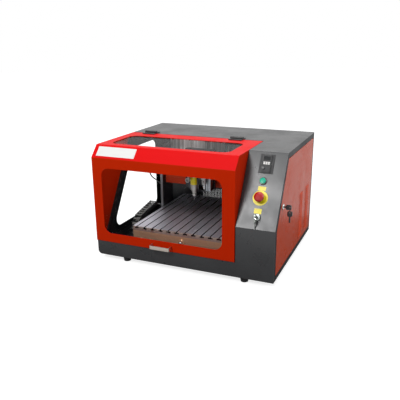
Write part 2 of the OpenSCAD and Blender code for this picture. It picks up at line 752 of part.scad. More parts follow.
// Side walls, welded to the folded sheet
module hood_sides() {
    inner = shifted(hood_line, sheet_t);
    r = bend_r - sheet_t;
    side = rounded([inner[3], [side_foot_y, inner[3][1]], [side_head_y, inner_top], inner[1], inner[2]],
        [r, 0, 0, r, r], 6);
    color("#c8201c") for (x = [left_x, hood_right_x - sheet_t]) along_x(x, x + sheet_t) polygon(side);
}
function grown(w, d) = [w[0] - d, w[1] + d, w[2] - d, w[3] + d];
module hood_panes() {
    color([0.8, 0.9, 0.95, 0.4]) {
        along_y(front_y + sheet_t, front_y + sheet_t + pane_t) window_hole(grown(front_window, pane_lap));
        along_z(inner_top - pane_t, inner_top) window_hole(grown(top_window, pane_lap));
    }
}
module hood_handle() {
    x0 = handle_x - handle_w / 2;
    x1 = handle_x + handle_w / 2;
    y1 = front_y - handle_out;
    line = [[x0, front_y], [x0, y1], [x1, y1], [x1, front_y]];
    color("silver") along_z(handle_z - handle_h / 2, handle_z + handle_h / 2) bent_sheet(line, 7, handle_t);
}

knuckle_d = 12;
pin_d = 5;
module hinge_fixed_leaves() {
    end_l = 15;
    color("#18181a") for (x = hinge_x) {
        block(x - leaf_w / 2, x + leaf_w / 2, hinge_axis[1] + 7, hinge_axis[1] + 30, body_h,
            body_h + leaf_t);
        translate([0, hinge_axis[1], hinge_axis[2]]) toward_x() translate([0, 0, x - leaf_w / 2])
            cylinder(d = pin_d, h = leaf_w);
        for (s = [x - leaf_w / 2, x + leaf_w / 2 - end_l]) {
            translate([0, hinge_axis[1], hinge_axis[2]]) toward_x() translate([0, 0, s])
                cylinder(d = knuckle_d, h = end_l);
            block(s, s + end_l, hinge_axis[1], hinge_axis[1] + 8, body_h + 0.5, body_h + leaf_t);
        }
    }
}
module hinge_moving_leaves() {
    mid_l = leaf_w - 2 * 15 - 0.6;
    color("#18181a") for (x = hinge_x) difference() {
        union() {
            block(x - leaf_w / 2, x + leaf_w / 2, hinge_axis[1] - 30, hinge_axis[1] - 7, body_h,
                body_h + leaf_t);
            block(x - mid_l / 2, x + mid_l / 2, hinge_axis[1] - 8, hinge_axis[1], body_h + 0.5,
                body_h + leaf_t);
            translate([0, hinge_axis[1], hinge_axis[2]]) toward_x() translate([0, 0, x - mid_l / 2])
                cylinder(d = knuckle_d, h = mid_l);
        }
        translate([0, hinge_axis[1], hinge_axis[2]]) toward_x() translate([0, 0, x - mid_l])
            cylinder(d = pin_d + 2 * run_fit, h = 2 * mid_l);
    }
}

// ==== gantry ====
module gantry_side_plates() {
    outline = [[gantry_y, gantry_low], [gantry_back, gantry_low], [gantry_back, gantry_top],
        [gantry_y + 26, gantry_top], [gantry_y, gantry_top - 40]];
    color("#55565a") for (x = [gantry_left - plate_t, gantry_right]) difference() {
        along_x(x, x + plate_t) polygon(rounded(outline, [10, 10, 10, 8, 8], 5));
        translate([x - eps, x_rod_y, x_screw_z]) toward_x()
            cylinder(d = 10 + 2 * run_fit, h = plate_t + 2 * eps);
    }
}
// Plate under the table with the bearing blocks of the Y rods and the nut block of the Y screw
module y_carriage() {
    seat = gantry_low + plate_t;
    y0 = gantry_y + 14;
    y1 = gantry_back - 14;
    color("silver") difference() {
        union() {
            block(gantry_left, gantry_right, y0, y1, gantry_low, seat);
            for (x = rod_x) block(x - 22, x + 22, y0, y1, seat, y_rod_z + 20);
            block(bed_mid_x - 20, bed_mid_x + 20, y0 + 20, y1 - 20, seat, y_screw_z + 19);
        }
        for (x = rod_x)
            translate([x, y0 - eps, y_rod_z]) toward_y()
                cylinder(d = rod_d + 2 * run_fit, h = y1 - y0 + 2 * eps);
        translate([bed_mid_x, y0, y_screw_z]) toward_y() cylinder(d = screw_d + 2 * run_fit, h = y1 - y0);
    }
}
module cross_beam() {
    wall = 4;
    beam_d = 40;
    color("#b8301c") along_x(gantry_left, gantry_right) difference() {
        translate([beam_y, beam_low]) square([beam_d, beam_h]);
        translate([beam_y + wall, beam_low + wall]) square([beam_d - 2 * wall, beam_h - 2 * wall]);
    }
}
module beam_back_plate() {
    color("lightgray") block(gantry_left, gantry_right, gantry_back - 12, gantry_back - 2,
        rod_low_z - 20, back_plate_top);
}
module gantry_box() {
    color("#242428") along_x(box_x, gantry_right - 8)
        polygon(rounded(rect(box_y, gantry_back - 12, rod_low_z + 20, back_plate_top), [0, 0, 0, 8]));
}

// Round cable swept along a list of points
function ring_at(p, d, r, n) =
    let (w = d / norm(d), side = abs(w[2]) > 0.9 ? [1, 0, 0] : [0, 0, 1],
        u = cross(side, w) / norm(cross(side, w)), v = cross(w, u))
    [for (k = [0 : n - 1]) p + r * (u * cos(360 * k / n) + v * sin(360 * k / n))];
module cable(route, d, n = 8) {
    m = len(route);
    pts = [for (i = [0 : m - 1])
        each ring_at(route[i], route[min(i + 1, m - 1)] - route[max(i - 1, 0)], d / 2, n)];
    polyhedron(pts, [[for (k = [0 : n - 1]) k], [for (k = [n - 1 : -1 : 0]) (m - 1) * n + k],
        for (i = [0 : m - 2], k = [0 : n - 1])
            [i * n + k, (i + 1) * n + k, (i + 1) * n + (k + 1) % n, i * n + (k + 1) % n]]);
}
// Bezier curve through four control points
function curve(a, b, c, d, n) = [for (i = [0 : n]) let (t = i / n)
    a * pow(1 - t, 3) + 3 * b * t * pow(1 - t, 2) + 3 * c * t * t * (1 - t) + d * pow(t, 3)];
cable_d = 6;
motor_x = gantry_left - plate_t - 32; // flange of the X motor
module gantry_cables() {
    plate_x = gantry_left - plate_t - cable_d / 2 - 0.3;
    motor_end = [motor_x - motor_l + 8, x_rod_y, x_screw_z - motor_w / 2 - 0.3];
    clip = [plate_x, gantry_y + 20, 226];
    foot = [plate_x, gantry_y + 18, 172];
    color("#151517") {
        cable(curve(motor_end, motor_end - [0, 0, 90], clip + [-30, 0, 44], clip, 14), cable_d);
        cable(curve(clip + [0, 0, -6.5], clip - [0, 0, 20], foot + [0, 0, 20], foot, 6), cable_d);
    }
    // two wires down the front of the electrical box
    color("teal") for (x = [box_x + 11, box_x + 20])
        translate([x, box_y - 2.2, rod_low_z + 22])
            cylinder(d = 4, h = back_plate_top - rod_low_z - 34, $fn = 24);
}

module x_guide_rods() {
    color("gainsboro") for (z = [rod_low_z, rod_low_z + rod_rise])
        translate([gantry_left, x_rod_y, z]) toward_x() cylinder(d = rod_d, h = bed_w + 2 * side_gap);
}
module x_motor() {
    post_at = motor_w / 2 - 6;
    color("#303034") {
        translate([motor_x, x_rod_y, x_screw_z]) rotate([0, -90, 0]) stepper(motor_l);
        for (y = [-post_at, post_at], z = [-post_at, post_at])
            translate([motor_x, x_rod_y + y, x_screw_z + z]) toward_x() cylinder(d = 7, h = 32);
    }
}
module x_screw() {
    coupler_l = 24;
    journal = 10;
    room = gantry_right - gantry_left;
    color("silver") translate([motor_x - 12, x_rod_y, x_screw_z]) toward_x()
        shaft([[16, shaft_d], [coupler_l, 20], [4 + plate_t + 1, journal], [room - 2, screw_d],
            [1 + plate_t + 2, journal]]);
}

// ==== head ====
head_left = head_x - head_w / 2;
head_right = head_x + head_w / 2;
module x_carriage() {
    back = beam_y - 1;
    front = carriage_y + carriage_t;
    color("#36373b") difference() {
        union() {
            along_y(carriage_y, front)
                polygon(rounded(rect(head_left, head_right, z_low, rod_low_z + rod_rise + 28), 8, 5));
            for (z = [rod_low_z, rod_low_z + rod_rise])
                block(head_x - 55, head_x + 55, front, back, z - 17, z + 17);
            block(head_x - 20, head_x + 20, front, back, x_screw_z - 15, x_screw_z + 15);
        }
        for (z = [rod_low_z, rod_low_z + rod_rise])
            translate([head_left, x_rod_y, z]) toward_x() cylinder(d = rod_d + 2 * run_fit, h = head_w);
        translate([head_left, x_rod_y, x_screw_z]) toward_x()
            cylinder(d = screw_d + 2 * run_fit, h = head_w);
    }
}
z_plate_x = z_rod_gap / 2 + 11; // half width of the head's end plates and slide block
module z_end_plates() {
    color("silver") for (z = [z_low, z_top]) difference() {
        block(head_x - z_plate_x, head_x + z_plate_x, z_rod_y - 12, carriage_y, z, z + z_plate_t);
        translate([head_x, z_rod_y, z - eps])
            cylinder(d = z_journal_d + 2 * run_fit, h = z_plate_t + 2 * eps);
    }
}
module z_guide_rods() {
    low = z_low + z_plate_t;
    color("gainsboro") for (s = [-1, 1]) translate([head_x + s * z_rod_gap / 2, z_rod_y, low])
        cylinder(d = z_rod_d, h = z_top - low);
}
module z_motor() {
    color("#303034") translate([head_x, z_rod_y, z_top + z_plate_t]) stepper(38);
}
module z_screw() {
    low = z_low + z_plate_t;
    color("silver") translate([head_x, z_rod_y, z_low]) shaft([[z_plate_t + 1, z_journal_d],
        [z_top - low - 2, z_screw_d], [1 + z_plate_t + 12, z_journal_d]]);
}
module z_slide_block() {
    color("#8d9095") difference() {
        block(head_x - z_plate_x, head_x + z_plate_x, z_rod_y - 13, carriage_y - 1, slide_z,
            slide_z + slide_h);
        for (s = [-1, 1]) translate([head_x + s * z_rod_gap / 2, z_rod_y, slide_z - eps])
            cylinder(d = z_rod_d + 2 * run_fit, h = slide_h + 2 * eps);
        translate([head_x, z_rod_y, slide_z - eps])
            cylinder(d = z_screw_d + 2 * run_fit, h = slide_h + 2 * eps);
    }
}
clamp_half = spindle_d / 2 + 14;
module spindle_clamp() {
    front = spindle_y - spindle_d / 2 - 7;
    slit = 3;
    color("#a4a7ab") difference() {
        along_z(clamp_low, clamp_low + clamp_h) difference() {
            polygon(rounded(rect(head_x - clamp_half, head_x + clamp_half, front, z_rod_y - 13),
                [8, 8, 0, 0]));
            translate([head_x, spindle_y]) circle(d = spindle_d + 2 * run_fit);
            translate([head_x - slit / 2, front - eps]) square([slit, spindle_y - front]);
        }
        translate([head_x - clamp_half - eps, front + 4, clamp_low + clamp_h / 2])
            toward_x() cylinder(d = 5, h = 2 * clamp_half + 2 * eps);
    }
}
module spindle_body() {
    r = spindle_d / 2;
    h = spindle_top - spindle_low;
    color("silver") translate([head_x, spindle_y, spindle_low]) rotate_extrude() polygon([
        [rotor_d / 2 + run_fit, 0], [r - 7, 0], [r - 5, 2], [r - 5, 9], [r, 14], [r, h - 3],
            [r - 3, h], [0, h],
        [0, 24], [rotor_d / 2 + run_fit, 24]]);
}
// Housing of the Z axis limit switches, on the carriage plate beside the slide block
module limit_housing() {
    x0 = head_x + z_plate_x + 1;
    x1 = x0 + 25;
    front = z_rod_y - 14;
    groove = [(x0 + x1) / 2 - 2.5, (x0 + x1) / 2 + 2.5];
    color("silver") {
        along_z(rod_low_z - 55, z_top + z_plate_t)
            polygon([[x0, carriage_y], [x0, front + 1], [x0 + 1, front],
            [groove[0], front], [groove[0], front + 3], [groove[1], front + 3], [groove[1], front],
            [x1 - 1, front], [x1, front + 1], [x1, carriage_y]]);
        // closed lower end
        along_z(rod_low_z - 57, rod_low_z - 55)
            polygon(rounded(rect(x0, x1, front, carriage_y), [1, 1, 0, 0], 3));
    }
}
module work_lamp() {
    lamp_x = head_x - spindle_d / 2 - 1;
    lamp_y = spindle_y - spindle_d / 2 - 20;
    lamp_z = rod_low_z + 3;
    bezel_d = 20;
    lamp_d = 16;
    color("whitesmoke") {
        translate([lamp_x, lamp_y, lamp_z]) toward_y() difference() {
            shaft([[4, bezel_d], [16, lamp_d], [2, lamp_d - 4]]);
            translate([0, 0, -eps]) cylinder(d = bezel_d - 5, h = 3);
        }
        block(lamp_x - 4, lamp_x + 4, lamp_y + 12, lamp_y + 22, lamp_z + lamp_d / 2 - 3, clamp_low);
    }
}
module sensor_block() {
    x0 = head_x + clamp_half + 1;
    z0 = rod_low_z - 22;
    sensor = [16, 12, 31];
    color("whitesmoke") difference() {
        union() {
            block(x0, x0 + sensor[0], spindle_y + 6, spindle_y + 6 + sensor[1], z0, z0 + sensor[2]);
            block(x0 - 6, x0 + 4, spindle_y + 8, spindle_y + 16, z0 + sensor[2] - 10, clamp_low);
        }
        translate([x0 + sensor[0] / 2, spindle_y, z0 + 14]) toward_y() cylinder(d = 7, h = 12);
    }
}
module collet_nut() {
    nut_low = spindle_low - 2 - nut_h;
    color("gray") translate([head_x, spindle_y, nut_low]) difference() {
        union() {
            rotate_extrude()
                polygon([[0, 0], [6.5, 0], [nut_d / 2 - 1, 3.5], [nut_d / 2 - 1, nut_h], [0, nut_h]]);
            translate([0, 0, 5]) cylinder(d = nut_d, h = nut_h - 5, $fn = 6);
            cylinder(d = rotor_d, h = nut_h + 2 + 20);
        }
        translate([0, 0, -eps]) cylinder(d = cutter_d + 2 * run_fit, h = 12 + eps);
    }
}
module cutter() {
    nut_low = spindle_low - 2 - nut_h;
    color("silver") translate([head_x, spindle_y, tip_z]) rotate_extrude() polygon([[0, 0], [0.25, 0],
        [cutter_d / 2, 4], [cutter_d / 2, nut_low - tip_z + 10], [0, nut_low - tip_z + 10]]);
}

// ==== service panel ====
panel_gaps = [for (r = service_rims) r + service_gap];
louvre = [55, 3.6, 10]; // length, height of the opening, pitch
louvre_y = [body_d - 247, body_d - 128]; // front end of each column
louvre_z = 46;
louvre_count = 21;
module louvre_blade() {
    // lip pressed out over the opening
    along_y(0, louvre[0])
        polygon([[-sheet_t, louvre[1]], [0, louvre[1]], [2.8, 1.2], [2.8, -0.4], [1.6, 0.6],
        [-sheet_t, louvre[1] - 1.4]]);
}
module service_panel() {
    outline = inset(tower_side, [panel_gaps[0], body_d - service_pivot[1], panel_gaps[2], panel_gaps[3],
        panel_gaps[4]]);
    z_low_edge = service_rims[0] + service_gap;
    z_top_edge = body_h - rim_w - service_gap;
    color("#b03a28") difference() {
        union() {
            along_x(right_x - sheet_t, right_x) difference() {
                polygon(rounded(outline, [4, 0, 0, 4, 4]));
                for (y = louvre_y, i = [0 : louvre_count - 1])
                    translate([y, louvre_z + i * louvre[2]]) square([louvre[0], louvre[1]]);
            }
            for (y = louvre_y, i = [0 : louvre_count - 1])
                translate([right_x, y, louvre_z + i * louvre[2]]) louvre_blade();
            // rolled rear edge around the hinge pins
            translate([service_pivot[0], service_pivot[1], z_low_edge])
                cylinder(r = knuckle_r, h = z_top_edge - z_low_edge);
        }
        translate([service_pivot[0], service_pivot[1], z_low_edge - eps])
            cylinder(r = 2 + run_fit, h = z_top_edge - z_low_edge + 2 * eps);
        translate([right_x - sheet_t - eps, lock_y, lock_z])
            toward_x() cylinder(d = lock_d, h = sheet_t + 2 * eps);
    }
}
module lock_barrel() {
    nut_r = 12.5;
    neck_r = lock_d / 2 - panel_fit;
    color("silver") translate([right_x, lock_y, lock_z]) toward_x() rotate_extrude() polygon([
        [6.05, 0.2 - cam_in], [nut_r, 0.2 - cam_in], [nut_r, -sheet_t], [neck_r, -sheet_t], [neck_r, 0],
        [11.5, 0], [11.5, 2], [9.5, 4], [6.05, 4]]);
}
module lock_key() {
    core_l = cam_in + cam[2];
    color("#1a1a1c") translate([right_x, lock_y, lock_z]) {
        translate([-core_l, 0, 0]) toward_x() shaft([[core_l + 3.8, 12]]);
        // cam, pointing down while unlocked
        block(-core_l, -cam_in, -cam[0] / 2, cam[0] / 2, -cam[1], 4);
        translate([3.8, 0, 0]) toward_x() {
            key_blade(lock_bow_low - 3.8 + 0.5);
            translate([0, 0, lock_bow_low - 3.8]) key_bow(lock_bow[0], lock_bow[1]);
        }
    }
}
module lock_spare_key() {
    color("#1a1a1c") translate(lock_hook) hanging_key(lock_bow[0], lock_bow[1], 26);
}

stand() floor_pan();
stand() front_fascia();
stand() roof();
stand() left_wall();
stand() left_window_pane();
stand() right_wall();
stand() rear_wall();
stand() divider_wall();
stand() feet();
stand() bed_end_plates();
stand() table_slats();
stand() y_guide_rods();
stand() y_motor();
stand() y_screw();
stand() drag_chain();
stand() drive_unit();
stand() drive_knob();
stand() start_bezel();
stand() start_button();
stand() stop_disc();
stand() stop_stem();
stand() stop_head();
stand() switch_barrel();
stand() switch_key();
stand() switch_spare_key();
stand() rear_sockets();
stand() power_supply();
stand() controller_board();
stand() hinge_fixed_leaves();
stand() hinge_moving_leaves();
stand() hood_shell();
stand() hood_sides();
stand() hood_panes();
stand() hood_handle();
stand() gantry_side_plates();
stand() y_carriage();
stand() cross_beam();
stand() beam_back_plate();
stand() gantry_box();
stand() gantry_cables();
stand() x_guide_rods();
stand() x_motor();
stand() x_screw();
stand() x_carriage();
stand() z_end_plates();
stand() z_guide_rods();
stand() z_motor();
stand() z_screw();
stand() limit_housing();
stand() z_slide_block();
stand() spindle_clamp();
stand() spindle_body();
stand() work_lamp();
stand() sensor_block();
stand() collet_nut();
stand() cutter();
stand() service_panel();
stand() lock_barrel();
stand() lock_key();
stand() lock_spare_key();
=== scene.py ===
# %% [markdown]
# # A circuit board cutting machine
# The machine is a sheet metal cabinet with a red hood, a sloping control panel and a small moving
# gantry mill inside. Its parts arrive as finished meshes with exact sizes, so this notebook gives
# every part its finish, and models the small things that lie on the parts: screws, labels, keys,
# threads and chain links. All lengths are in metres: X to the right, Y to the back, Z up. Small
# sizes are easier to read in millimetres, so they are written that way and multiplied by MM.

# %% Load the machine
import bpy
import bmesh
import json
from itertools import product
from math import atan2, cos, pi, radians, sin
from mathutils import Matrix, Quaternion, Vector

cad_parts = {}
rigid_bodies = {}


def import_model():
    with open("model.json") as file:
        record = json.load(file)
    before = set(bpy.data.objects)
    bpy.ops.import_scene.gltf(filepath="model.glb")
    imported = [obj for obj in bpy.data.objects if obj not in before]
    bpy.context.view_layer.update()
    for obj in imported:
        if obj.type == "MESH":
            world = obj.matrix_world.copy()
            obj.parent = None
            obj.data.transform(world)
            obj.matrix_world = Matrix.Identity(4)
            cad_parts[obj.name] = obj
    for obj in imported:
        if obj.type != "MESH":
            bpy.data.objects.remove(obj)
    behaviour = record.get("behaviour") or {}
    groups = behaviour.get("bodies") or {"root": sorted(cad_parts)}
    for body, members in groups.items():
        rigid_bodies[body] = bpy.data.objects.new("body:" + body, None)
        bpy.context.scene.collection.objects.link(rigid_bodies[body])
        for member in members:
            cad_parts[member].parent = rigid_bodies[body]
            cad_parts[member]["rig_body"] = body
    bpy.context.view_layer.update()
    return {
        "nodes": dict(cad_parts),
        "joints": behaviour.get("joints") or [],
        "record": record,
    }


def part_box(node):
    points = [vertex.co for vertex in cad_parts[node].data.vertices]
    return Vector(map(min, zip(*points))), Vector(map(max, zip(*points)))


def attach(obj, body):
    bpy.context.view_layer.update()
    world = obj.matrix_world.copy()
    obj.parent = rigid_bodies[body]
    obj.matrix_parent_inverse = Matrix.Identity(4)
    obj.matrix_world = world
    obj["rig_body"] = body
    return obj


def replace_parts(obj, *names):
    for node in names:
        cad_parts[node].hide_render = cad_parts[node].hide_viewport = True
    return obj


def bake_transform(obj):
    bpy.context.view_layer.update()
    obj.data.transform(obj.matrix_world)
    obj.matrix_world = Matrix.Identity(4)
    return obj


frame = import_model()
nodes = frame["nodes"]
joints = {j["name"]: j for j in frame["joints"]}
MM = 0.001
SIDES = (-1, 1)


def mm(*lengths):
    return tuple(length * MM for length in lengths)


def linked(name, data):
    """A new object in the scene."""
    made = bpy.data.objects.new(name, data)
    bpy.context.scene.collection.objects.link(made)
    return made


# %% [markdown]
# ## Camera
# A product picture is taken from the right of the machine's front and a little above it, so that
# the hood, the control panel and the service panel all show. The lens is long enough to keep the
# cabinet's edges nearly parallel. The camera looks along its own -Z axis, so its Z axis is turned
# away from the subject first, and then it is rolled by half a degree.

# %% Camera
camera_data = bpy.data.cameras.new("camera")
camera_data.sensor_width = 36
camera_data.lens = 46.63
camera = linked("camera", camera_data)
azimuth, elevation, roll = radians(23.4), radians(17.46), radians(-0.5)
away = Vector((sin(azimuth) * cos(elevation), -cos(azimuth) * cos(elevation), sin(elevation)))
camera.location = (0.844, -2.0874, 0.9394)
camera.rotation_mode = "QUATERNION"
camera.rotation_quaternion = away.to_track_quat("Z", "Y") @ Quaternion((0, 0, 1), roll)
bpy.context.scene.camera = camera
bpy.context.scene.view_settings.view_transform = "Standard"
print("camera with a lens of", round(camera_data.lens, 2), "mm")

# %% [markdown]
# ## Studio
# Real product pictures are lit with large soft boxes. One hangs above the machine. A smaller one
# stands in front on the left, where the sloping control panel mirrors it towards the camera, so
# that the panel shines and the upright front stays darker. A third one lights the service panel
# from the right. A pale world fills the rest. The floor and the world look white to the camera, in
# glossy reflections and through clear panes, while the light that they throw on the machine stays
# moderate. That is done with the Light Path node. Glossy faces see a round black disc under the
# machine instead of white paper. It is a painted shadow of the machine on the floor, which only
# reflections show, and it keeps the colour of the side panels strong near the floor.

# %% Shader node helpers
def feed(tree, socket, value):
    """Links the value if it is a socket itself, and types it in if it is a number or a colour."""
    if isinstance(value, bpy.types.NodeSocket):
        tree.links.new(value, socket)
    else:
        socket.default_value = value


def new_node(tree, kind, **inputs):
    """Adds a shader node and feeds the named inputs."""
    node = tree.nodes.new(kind)
    for name, value in inputs.items():
        feed(tree, node.inputs[name.replace("_", " ")], value)
    return node


def maths(tree, operation, a, b=0.0):
    node = tree.nodes.new("ShaderNodeMath")
    node.operation = operation
    for socket, value in zip(node.inputs, (a, b)):
        feed(tree, socket, value)
    return node.outputs[0]


def ranged(tree, value, low, high, to_low, to_high):
    """Maps low..high to to_low..to_high, and stops at the ends."""
    return new_node(tree, "ShaderNodeMapRange", Value=value, From_Min=low, From_Max=high,
                    To_Min=to_low, To_Max=to_high).outputs[0]


def seen_directly(tree):
    """1 for rays from the camera, from a glossy reflection or through a clear pane, otherwise 0. A
    ray that has left a matt surface counts as light, also where it passes a pane later."""
    rays = new_node(tree, "ShaderNodeLightPath").outputs
    camera_or_glossy = maths(tree, "MAXIMUM", rays["Is Camera Ray"], rays["Is Glossy Ray"])
    seen = maths(tree, "MAXIMUM", camera_or_glossy, rays["Is Transmission Ray"])
    return maths(tree, "MULTIPLY", seen, maths(tree, "LESS_THAN", rays["Diffuse Depth"], 0.5))

# %% World
WHITE = (1, 1, 1, 1)
WORLD_LIGHT = 0.22  # strength of the light that the world throws on the machine
world = bpy.data.worlds.new("studio")
bpy.context.scene.world = world
world.use_nodes = True
air = world.node_tree
air.nodes.clear()
level = ranged(air, seen_directly(air), 0, 1, WORLD_LIGHT, 1)
sky = new_node(air, "ShaderNodeBackground", Color=WHITE, Strength=level)
air.links.new(sky.outputs[0], new_node(air, "ShaderNodeOutputWorld").inputs["Surface"])
print("world nodes:", len(air.nodes))

# %% Soft boxes
def soft_box(name, place, aim, size, watts):
    """A rectangular lamp at place that shines towards aim. Its light passes the clear panes as it
    passes air, so refracted rays leave it out, or it would count twice."""
    data = bpy.data.lights.new(name, "AREA")
    data.shape = "RECTANGLE"
    (data.size, data.size_y), data.energy = size, watts
    lamp = linked(name, data)
    lamp.location = place
    lamp.rotation_mode = "QUATERNION"
    lamp.rotation_quaternion = (Vector(place) - Vector(aim)).to_track_quat("Z", "Y")
    lamp.visible_transmission = False
    print(name, "gives", watts, "W")


soft_box("overhead", (0.1, 0.1, 2.5), (0, 0, 0.3), (2.8, 2.4), 40)
soft_box("front_left", (-0.45, -2.2, 1.87), (0.28, -0.28, 0.28), (0.65, 0.65), 32)
soft_box("right", (2.3, 0.3, 1.3), (0.42, 0, 0.25), (1.2, 1.2), 13)

# %% Floor
FLOOR_RADIUS = 14
PAPER_SEEN, PAPER_BOUNCE = 0.52, 0.26  # how pale the paper is to the eye and to bounced light
GLOW_EDGES, GLOW_LEVELS = (0.6, 2.2), (0.8, 1)  # the radii between which its glow grows
# The black disc is a painted shadow of the machine on the floor, seen only in glossy reflections.
MIRRORED_SHADOW_EDGES = (0.72, 0.82)  # in a mirror image, the radii between which black turns to white
bm = bmesh.new()
bmesh.ops.create_circle(bm, cap_ends=True, segments=64, radius=FLOOR_RADIUS)
floor_mesh = bpy.data.meshes.new("floor")
bm.to_mesh(floor_mesh)
bm.free()
floor = linked("floor", floor_mesh)
paper = bpy.data.materials.new("paper_floor")
paper.use_nodes = True
sheet = paper.node_tree
matt = sheet.nodes["Principled BSDF"]
rays = new_node(sheet, "ShaderNodeLightPath").outputs
bounce = ranged(sheet, rays["Is Diffuse Ray"], 0, 1, PAPER_SEEN, PAPER_BOUNCE)
sheet.links.new(bounce, matt.inputs["Base Color"])
matt.inputs["Roughness"].default_value = 0.9
matt.inputs["Specular IOR Level"].default_value = 0
matt.inputs["Emission Color"].default_value = WHITE
from_middle = sheet.nodes.new("ShaderNodeVectorMath")
from_middle.operation = "LENGTH"
sheet.links.new(new_node(sheet, "ShaderNodeTexCoord").outputs["Object"], from_middle.inputs[0])
radius = from_middle.outputs["Value"]
glow = ranged(sheet, radius, *GLOW_EDGES, *GLOW_LEVELS)
lift = maths(sheet, "MULTIPLY", seen_directly(sheet), glow)
# Painted shadow: in glossy reflections the paper turns black under the machine.
mirrored = maths(sheet, "GREATER_THAN", rays["Is Glossy Ray"], rays["Is Transmission Ray"])
mirrored_shadow = ranged(sheet, radius, *MIRRORED_SHADOW_EDGES, 1, 0)
dimmed = maths(sheet, "SUBTRACT", 1.0, maths(sheet, "MULTIPLY", mirrored, mirrored_shadow))
sheet.links.new(maths(sheet, "MULTIPLY", lift, dimmed), matt.inputs["Emission Strength"])
floor_mesh.materials.append(paper)
print("floor nodes:", len(sheet.nodes))

# %% [markdown]
# ## Effects that finishes share
# No factory surface is one flat colour. Three small node groups give the differences that most
# finishes need. The first is the pebbled skin of powder coat and moulded plastic. The second is the
# fine lines of brushed, milled or drawn metal, made from noise that is stretched along one axis.
# The third is what handling leaves: faint smudges, and a little dust on faces that look up.
# A group only puts out masks and heights, and each material decides what to do with them.

# %% Shared node groups
def new_group(name, number, default, outputs):
    """A group with the inputs Vector and one number, and with some number outputs."""
    tree = bpy.data.node_groups.new(name, "ShaderNodeTree")
    tree.interface.new_socket("Vector", in_out="INPUT", socket_type="NodeSocketVector")
    tree.interface.new_socket(number, in_out="INPUT",
                              socket_type="NodeSocketFloat").default_value = default
    for label in outputs:
        tree.interface.new_socket(label, in_out="OUTPUT", socket_type="NodeSocketFloat")
    inside = tree.nodes.new("NodeGroupInput")
    return tree, inside.outputs["Vector"], inside.outputs[number], tree.nodes.new("NodeGroupOutput")


def noise(tree, vector, scale, detail=2.0, roughness=0.5):
    return new_node(tree, "ShaderNodeTexNoise", Vector=vector, Scale=scale, Detail=detail,
                    Roughness=roughness).outputs["Fac"]


pebbles, vector, grain, out = new_group("pebbled_skin", "Grain", 700.0, ["Height", "Mottle"])
fine = noise(pebbles, vector, grain, 1.0)
broad = noise(pebbles, vector, 9.0, 3.0, 0.6)
pebbles.links.new(fine, out.inputs["Height"])
speckle = maths(pebbles, "MULTIPLY", ranged(pebbles, fine, 0.3, 0.7, 0, 1), 0.6)
cloud = maths(pebbles, "MULTIPLY", ranged(pebbles, broad, 0.35, 0.65, 0, 1), 0.4)
pebbles.links.new(maths(pebbles, "ADD", speckle, cloud), out.inputs["Mottle"])

lines, vector, fineness, out = new_group("tool_lines", "Fineness", 900.0, ["Height", "Streak"])
hair = noise(lines, vector, fineness, 3.0, 0.6)
band = noise(lines, vector, 60.0, 2.0)
lines.links.new(hair, out.inputs["Height"])
lines.links.new(ranged(lines, maths(lines, "ADD", hair, band), 0.7, 1.3, 0, 1),
                out.inputs["Streak"])

marks, vector, size, out = new_group("handling", "Size", 14.0, ["Smudge", "Dust"])
smear = noise(marks, vector, size, 4.0, 0.62)
marks.links.new(ranged(marks, smear, 0.4, 0.72, 0, 1), out.inputs["Smudge"])
up = new_node(marks, "ShaderNodeSeparateXYZ",
              Vector=new_node(marks, "ShaderNodeNewGeometry").outputs["Normal"]).outputs["Z"]
grit = ranged(marks, noise(marks, vector, 260.0, 4.0, 0.7), 0.45, 0.8, 0, 1)
marks.links.new(maths(marks, "MULTIPLY", ranged(marks, up, 0.6, 1, 0, 1), grit),
                out.inputs["Dust"])
print("groups:", [g.name for g in bpy.data.node_groups])

# %% [markdown]
# ## Kinds of finish
# Each kind of finish is a function that returns a material, so that its settings sit together.
# A colour is written as it looks on a screen, in steps of 0 to 255, and turned into the linear
# values that a renderer works with. The relief of a surface is written in millimetres.

# %% Finish helpers
def colour(red, green, blue):
    def linear(c):
        c = c / 255
        return c / 12.92 if c <= 0.04045 else ((c + 0.055) / 1.055) ** 2.4
    return (linear(red), linear(green), linear(blue), 1)


def shade(rgba, factor):
    return tuple(min(1, c * factor) for c in rgba[:3]) + (1,)


def new_finish(name):
    material = bpy.data.materials.new(name)
    material.use_nodes = True
    tree = material.node_tree
    shader = tree.nodes["Principled BSDF"]
    place = new_node(tree, "ShaderNodeTexCoord").outputs["Object"]
    return material, tree, shader, place


def use_group(tree, group, **inputs):
    node = tree.nodes.new("ShaderNodeGroup")
    node.node_tree = group
    for name, value in inputs.items():
        feed(tree, node.inputs[name], value)
    return node.outputs


def mixed(tree, mask, a, b):
    """Colour a where the mask is 0 and b where it is 1."""
    node = tree.nodes.new("ShaderNodeMix")
    node.data_type = "RGBA"
    for index, value in ((0, mask), (6, a), (7, b)):
        feed(tree, node.inputs[index], value)
    return node.outputs[2]


def bumped(tree, shader, height, relief):
    bump = new_node(tree, "ShaderNodeBump", Height=height, Distance=relief * MM, Strength=1.0)
    tree.links.new(bump.outputs[0], shader.inputs["Normal"])


DUST = colour(150, 148, 144)


